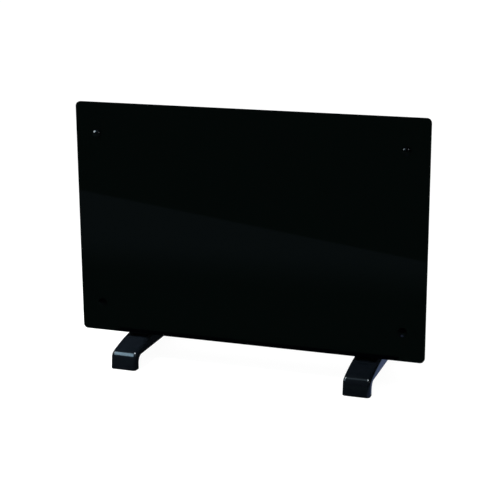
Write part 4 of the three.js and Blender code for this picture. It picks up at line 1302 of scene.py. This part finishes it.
rocker = {
    "halfWidth": 5.3 * mm,
    "halfLength": 8 * mm,
    "dish": 2.4 * mm,
    "rise": 1.41 * mm,
    "underside": -2.6 * mm,
    "underScale": 0.69,
    "stations": 11,
    "edge": 0.4 * mm,
    "pin": (1.2 * mm, 12.2 * mm),
    "tilt": 10,  # degrees, either way from level
    "markPlace": 5 * mm,
    "markProud": 0.1 * mm,
    "bar": (0.5 * mm, 3 * mm),
    "ring": (1.5 * mm, 1.1 * mm),
}


def makeSwitch():
    low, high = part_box("switch_housing")
    middle = (low + high) / 2
    thick, wide, tall = switch["bezel"]
    half = Vector((0, wide / 2, tall / 2))
    front = Vector((high.x, middle.y, middle.z))
    back = front - Vector((thick, 0, 0))
    housing = addRoundedBlock("switchHousing", back - half, front + half, "X", switch["bezelCorner"])
    soften(housing, lambda e: liesAt(e, "X", high.x), switch["bezelEdge"])
    deep, wide, tall = switch["body"]
    half = Vector((0, wide / 2, tall / 2))
    rear = back - Vector((deep, 0, 0))
    sunk = back + half + Vector((switch["bodySink"], 0, 0))
    fuse(housing, addRoundedBlock("body", rear - half, sunk, "X", switch["bodyCorner"]))
    half = Vector(switch["tab"]) / 2
    for i in (-1, 0, 1):
        at = rear + Vector((0, 0, i * switch["tabPitch"]))
        fuse(housing, addBlock("tab", at - half, at + half))
    half = Vector((0, switch["cavity"][0] / 2, switch["cavity"][1] / 2))
    floor = front - Vector((switch["cavityDepth"], 0, 0))
    above = front + Vector((switch["overcut"], 0, 0))
    cut(housing, addRoundedBlock("cavity", floor - half, above + half, "X", switch["cavityCorner"], 3))
    pivot = Vector(pivotOf("rocker_tilt"))
    cut(housing, addDrum("pinHole", pivot, switch["pinHole"], switch["drill"], "Y", 20))
    dress(housing, "switch_plastic", "switch_housing")


def pivotOf(joint):
    return next(row["pos_m"] for row in frame["joints"] if row["name"] == joint)


def rockerTop(z):
    return rocker["dish"] + rocker["rise"] * (z / rocker["halfLength"]) ** 2


# Drawn about its pivot, then rocked to its off position.
def makeRocker():
    wide, long, under = rocker["halfWidth"], rocker["halfLength"], rocker["underside"]
    top = rockerTop(long)
    bar = addBlock("powerRocker", (under, -wide, -long), (top, wide, long))
    startEdit(bar)
    choose("EDGE", lambda e: runsAlong(e, "Z"))
    bpy.ops.mesh.subdivide(number_cuts=rocker["stations"])
    mesh = bmesh.from_edit_mesh(bar.data)
    for z in sorted({round(v.co.z, 6) for v in mesh.verts}):
        choose("VERT", lambda v: abs(v.co.z - z) < hair and v.co.x > 0)
        bpy.ops.transform.translate(value=(rockerTop(z) - top, 0, 0))
    choose("VERT", lambda v: v.co.x < under / 2)
    bpy.ops.transform.resize(value=(1, 1, rocker["underScale"]))
    roundEdges(lambda e: isSharp(e) and middleOf(e).x > 0, rocker["edge"])
    endEdit()
    radius, length = rocker["pin"]
    fuse(bar, addDrum("pin", (0, 0, 0), radius, length, "Y", 24))
    place = rocker["markPlace"]
    slope = math.atan(2 * rocker["rise"] * place / long**2)
    proud = rocker["markProud"]
    thin, tall = rocker["bar"]
    barMark = addBlock("onMark", (-proud, -thin / 2, -tall / 2), (proud, thin / 2, tall / 2))
    standAt(barMark, (rockerTop(place), 0, -place), (0, -slope, 0))
    outer, inner = rocker["ring"]
    ringMark = addDrum("offMark", (0, 0, 0), outer, 2 * proud, "X", 32)
    cut(ringMark, addDrum("ringHole", (0, 0, 0), inner, 4 * proud, "X", 32))
    standAt(ringMark, (rockerTop(place), 0, place), (0, slope, 0))
    marks = joinPieces([barMark, ringMark])
    marks.name = marks.data.name = "rockerMarks"
    for piece in (bar, marks):
        standAt(piece, pivotOf("rocker_tilt"), (0, -math.radians(rocker["tilt"]), 0))
    dress(bar, "switch_plastic", "power_rocker", body="rocker")
    dress(marks, None, body="rocker")


makeControlPlate()
makeDial()
makeSwitch()
makeRocker()
print("controls ready")

# The CAD nodes that stay visible.

slotOf = {row["node"]: row["material_slot"] for row in frame["record"]["subparts"]}


def dressNodes():
    for node, piece in frame["nodes"].items():
        if piece.hide_render:
            continue
        piece.data.materials.clear()
        piece.data.materials.append(finishes[slotOf[node]])


def linkLight(light, group, state):
    bpy.data.objects[light].light_linking.receiver_collection = group
    for item in group.collection_objects:
        item.light_linking.link_state = state


def linkLights():
    spared = bpy.data.collections.new("spared")
    for name in studio["sparedPieces"]:
        spared.objects.link(bpy.data.objects[name])
    for name in studio["lights"]:
        linkLight(name, spared, "EXCLUDE")
    for name, glint in studio["glints"].items():
        lit = bpy.data.collections.new(name)
        lit.objects.link(bpy.data.objects[glint["piece"]])
        linkLight(name, lit, "INCLUDE")


dressNodes()
linkLights()
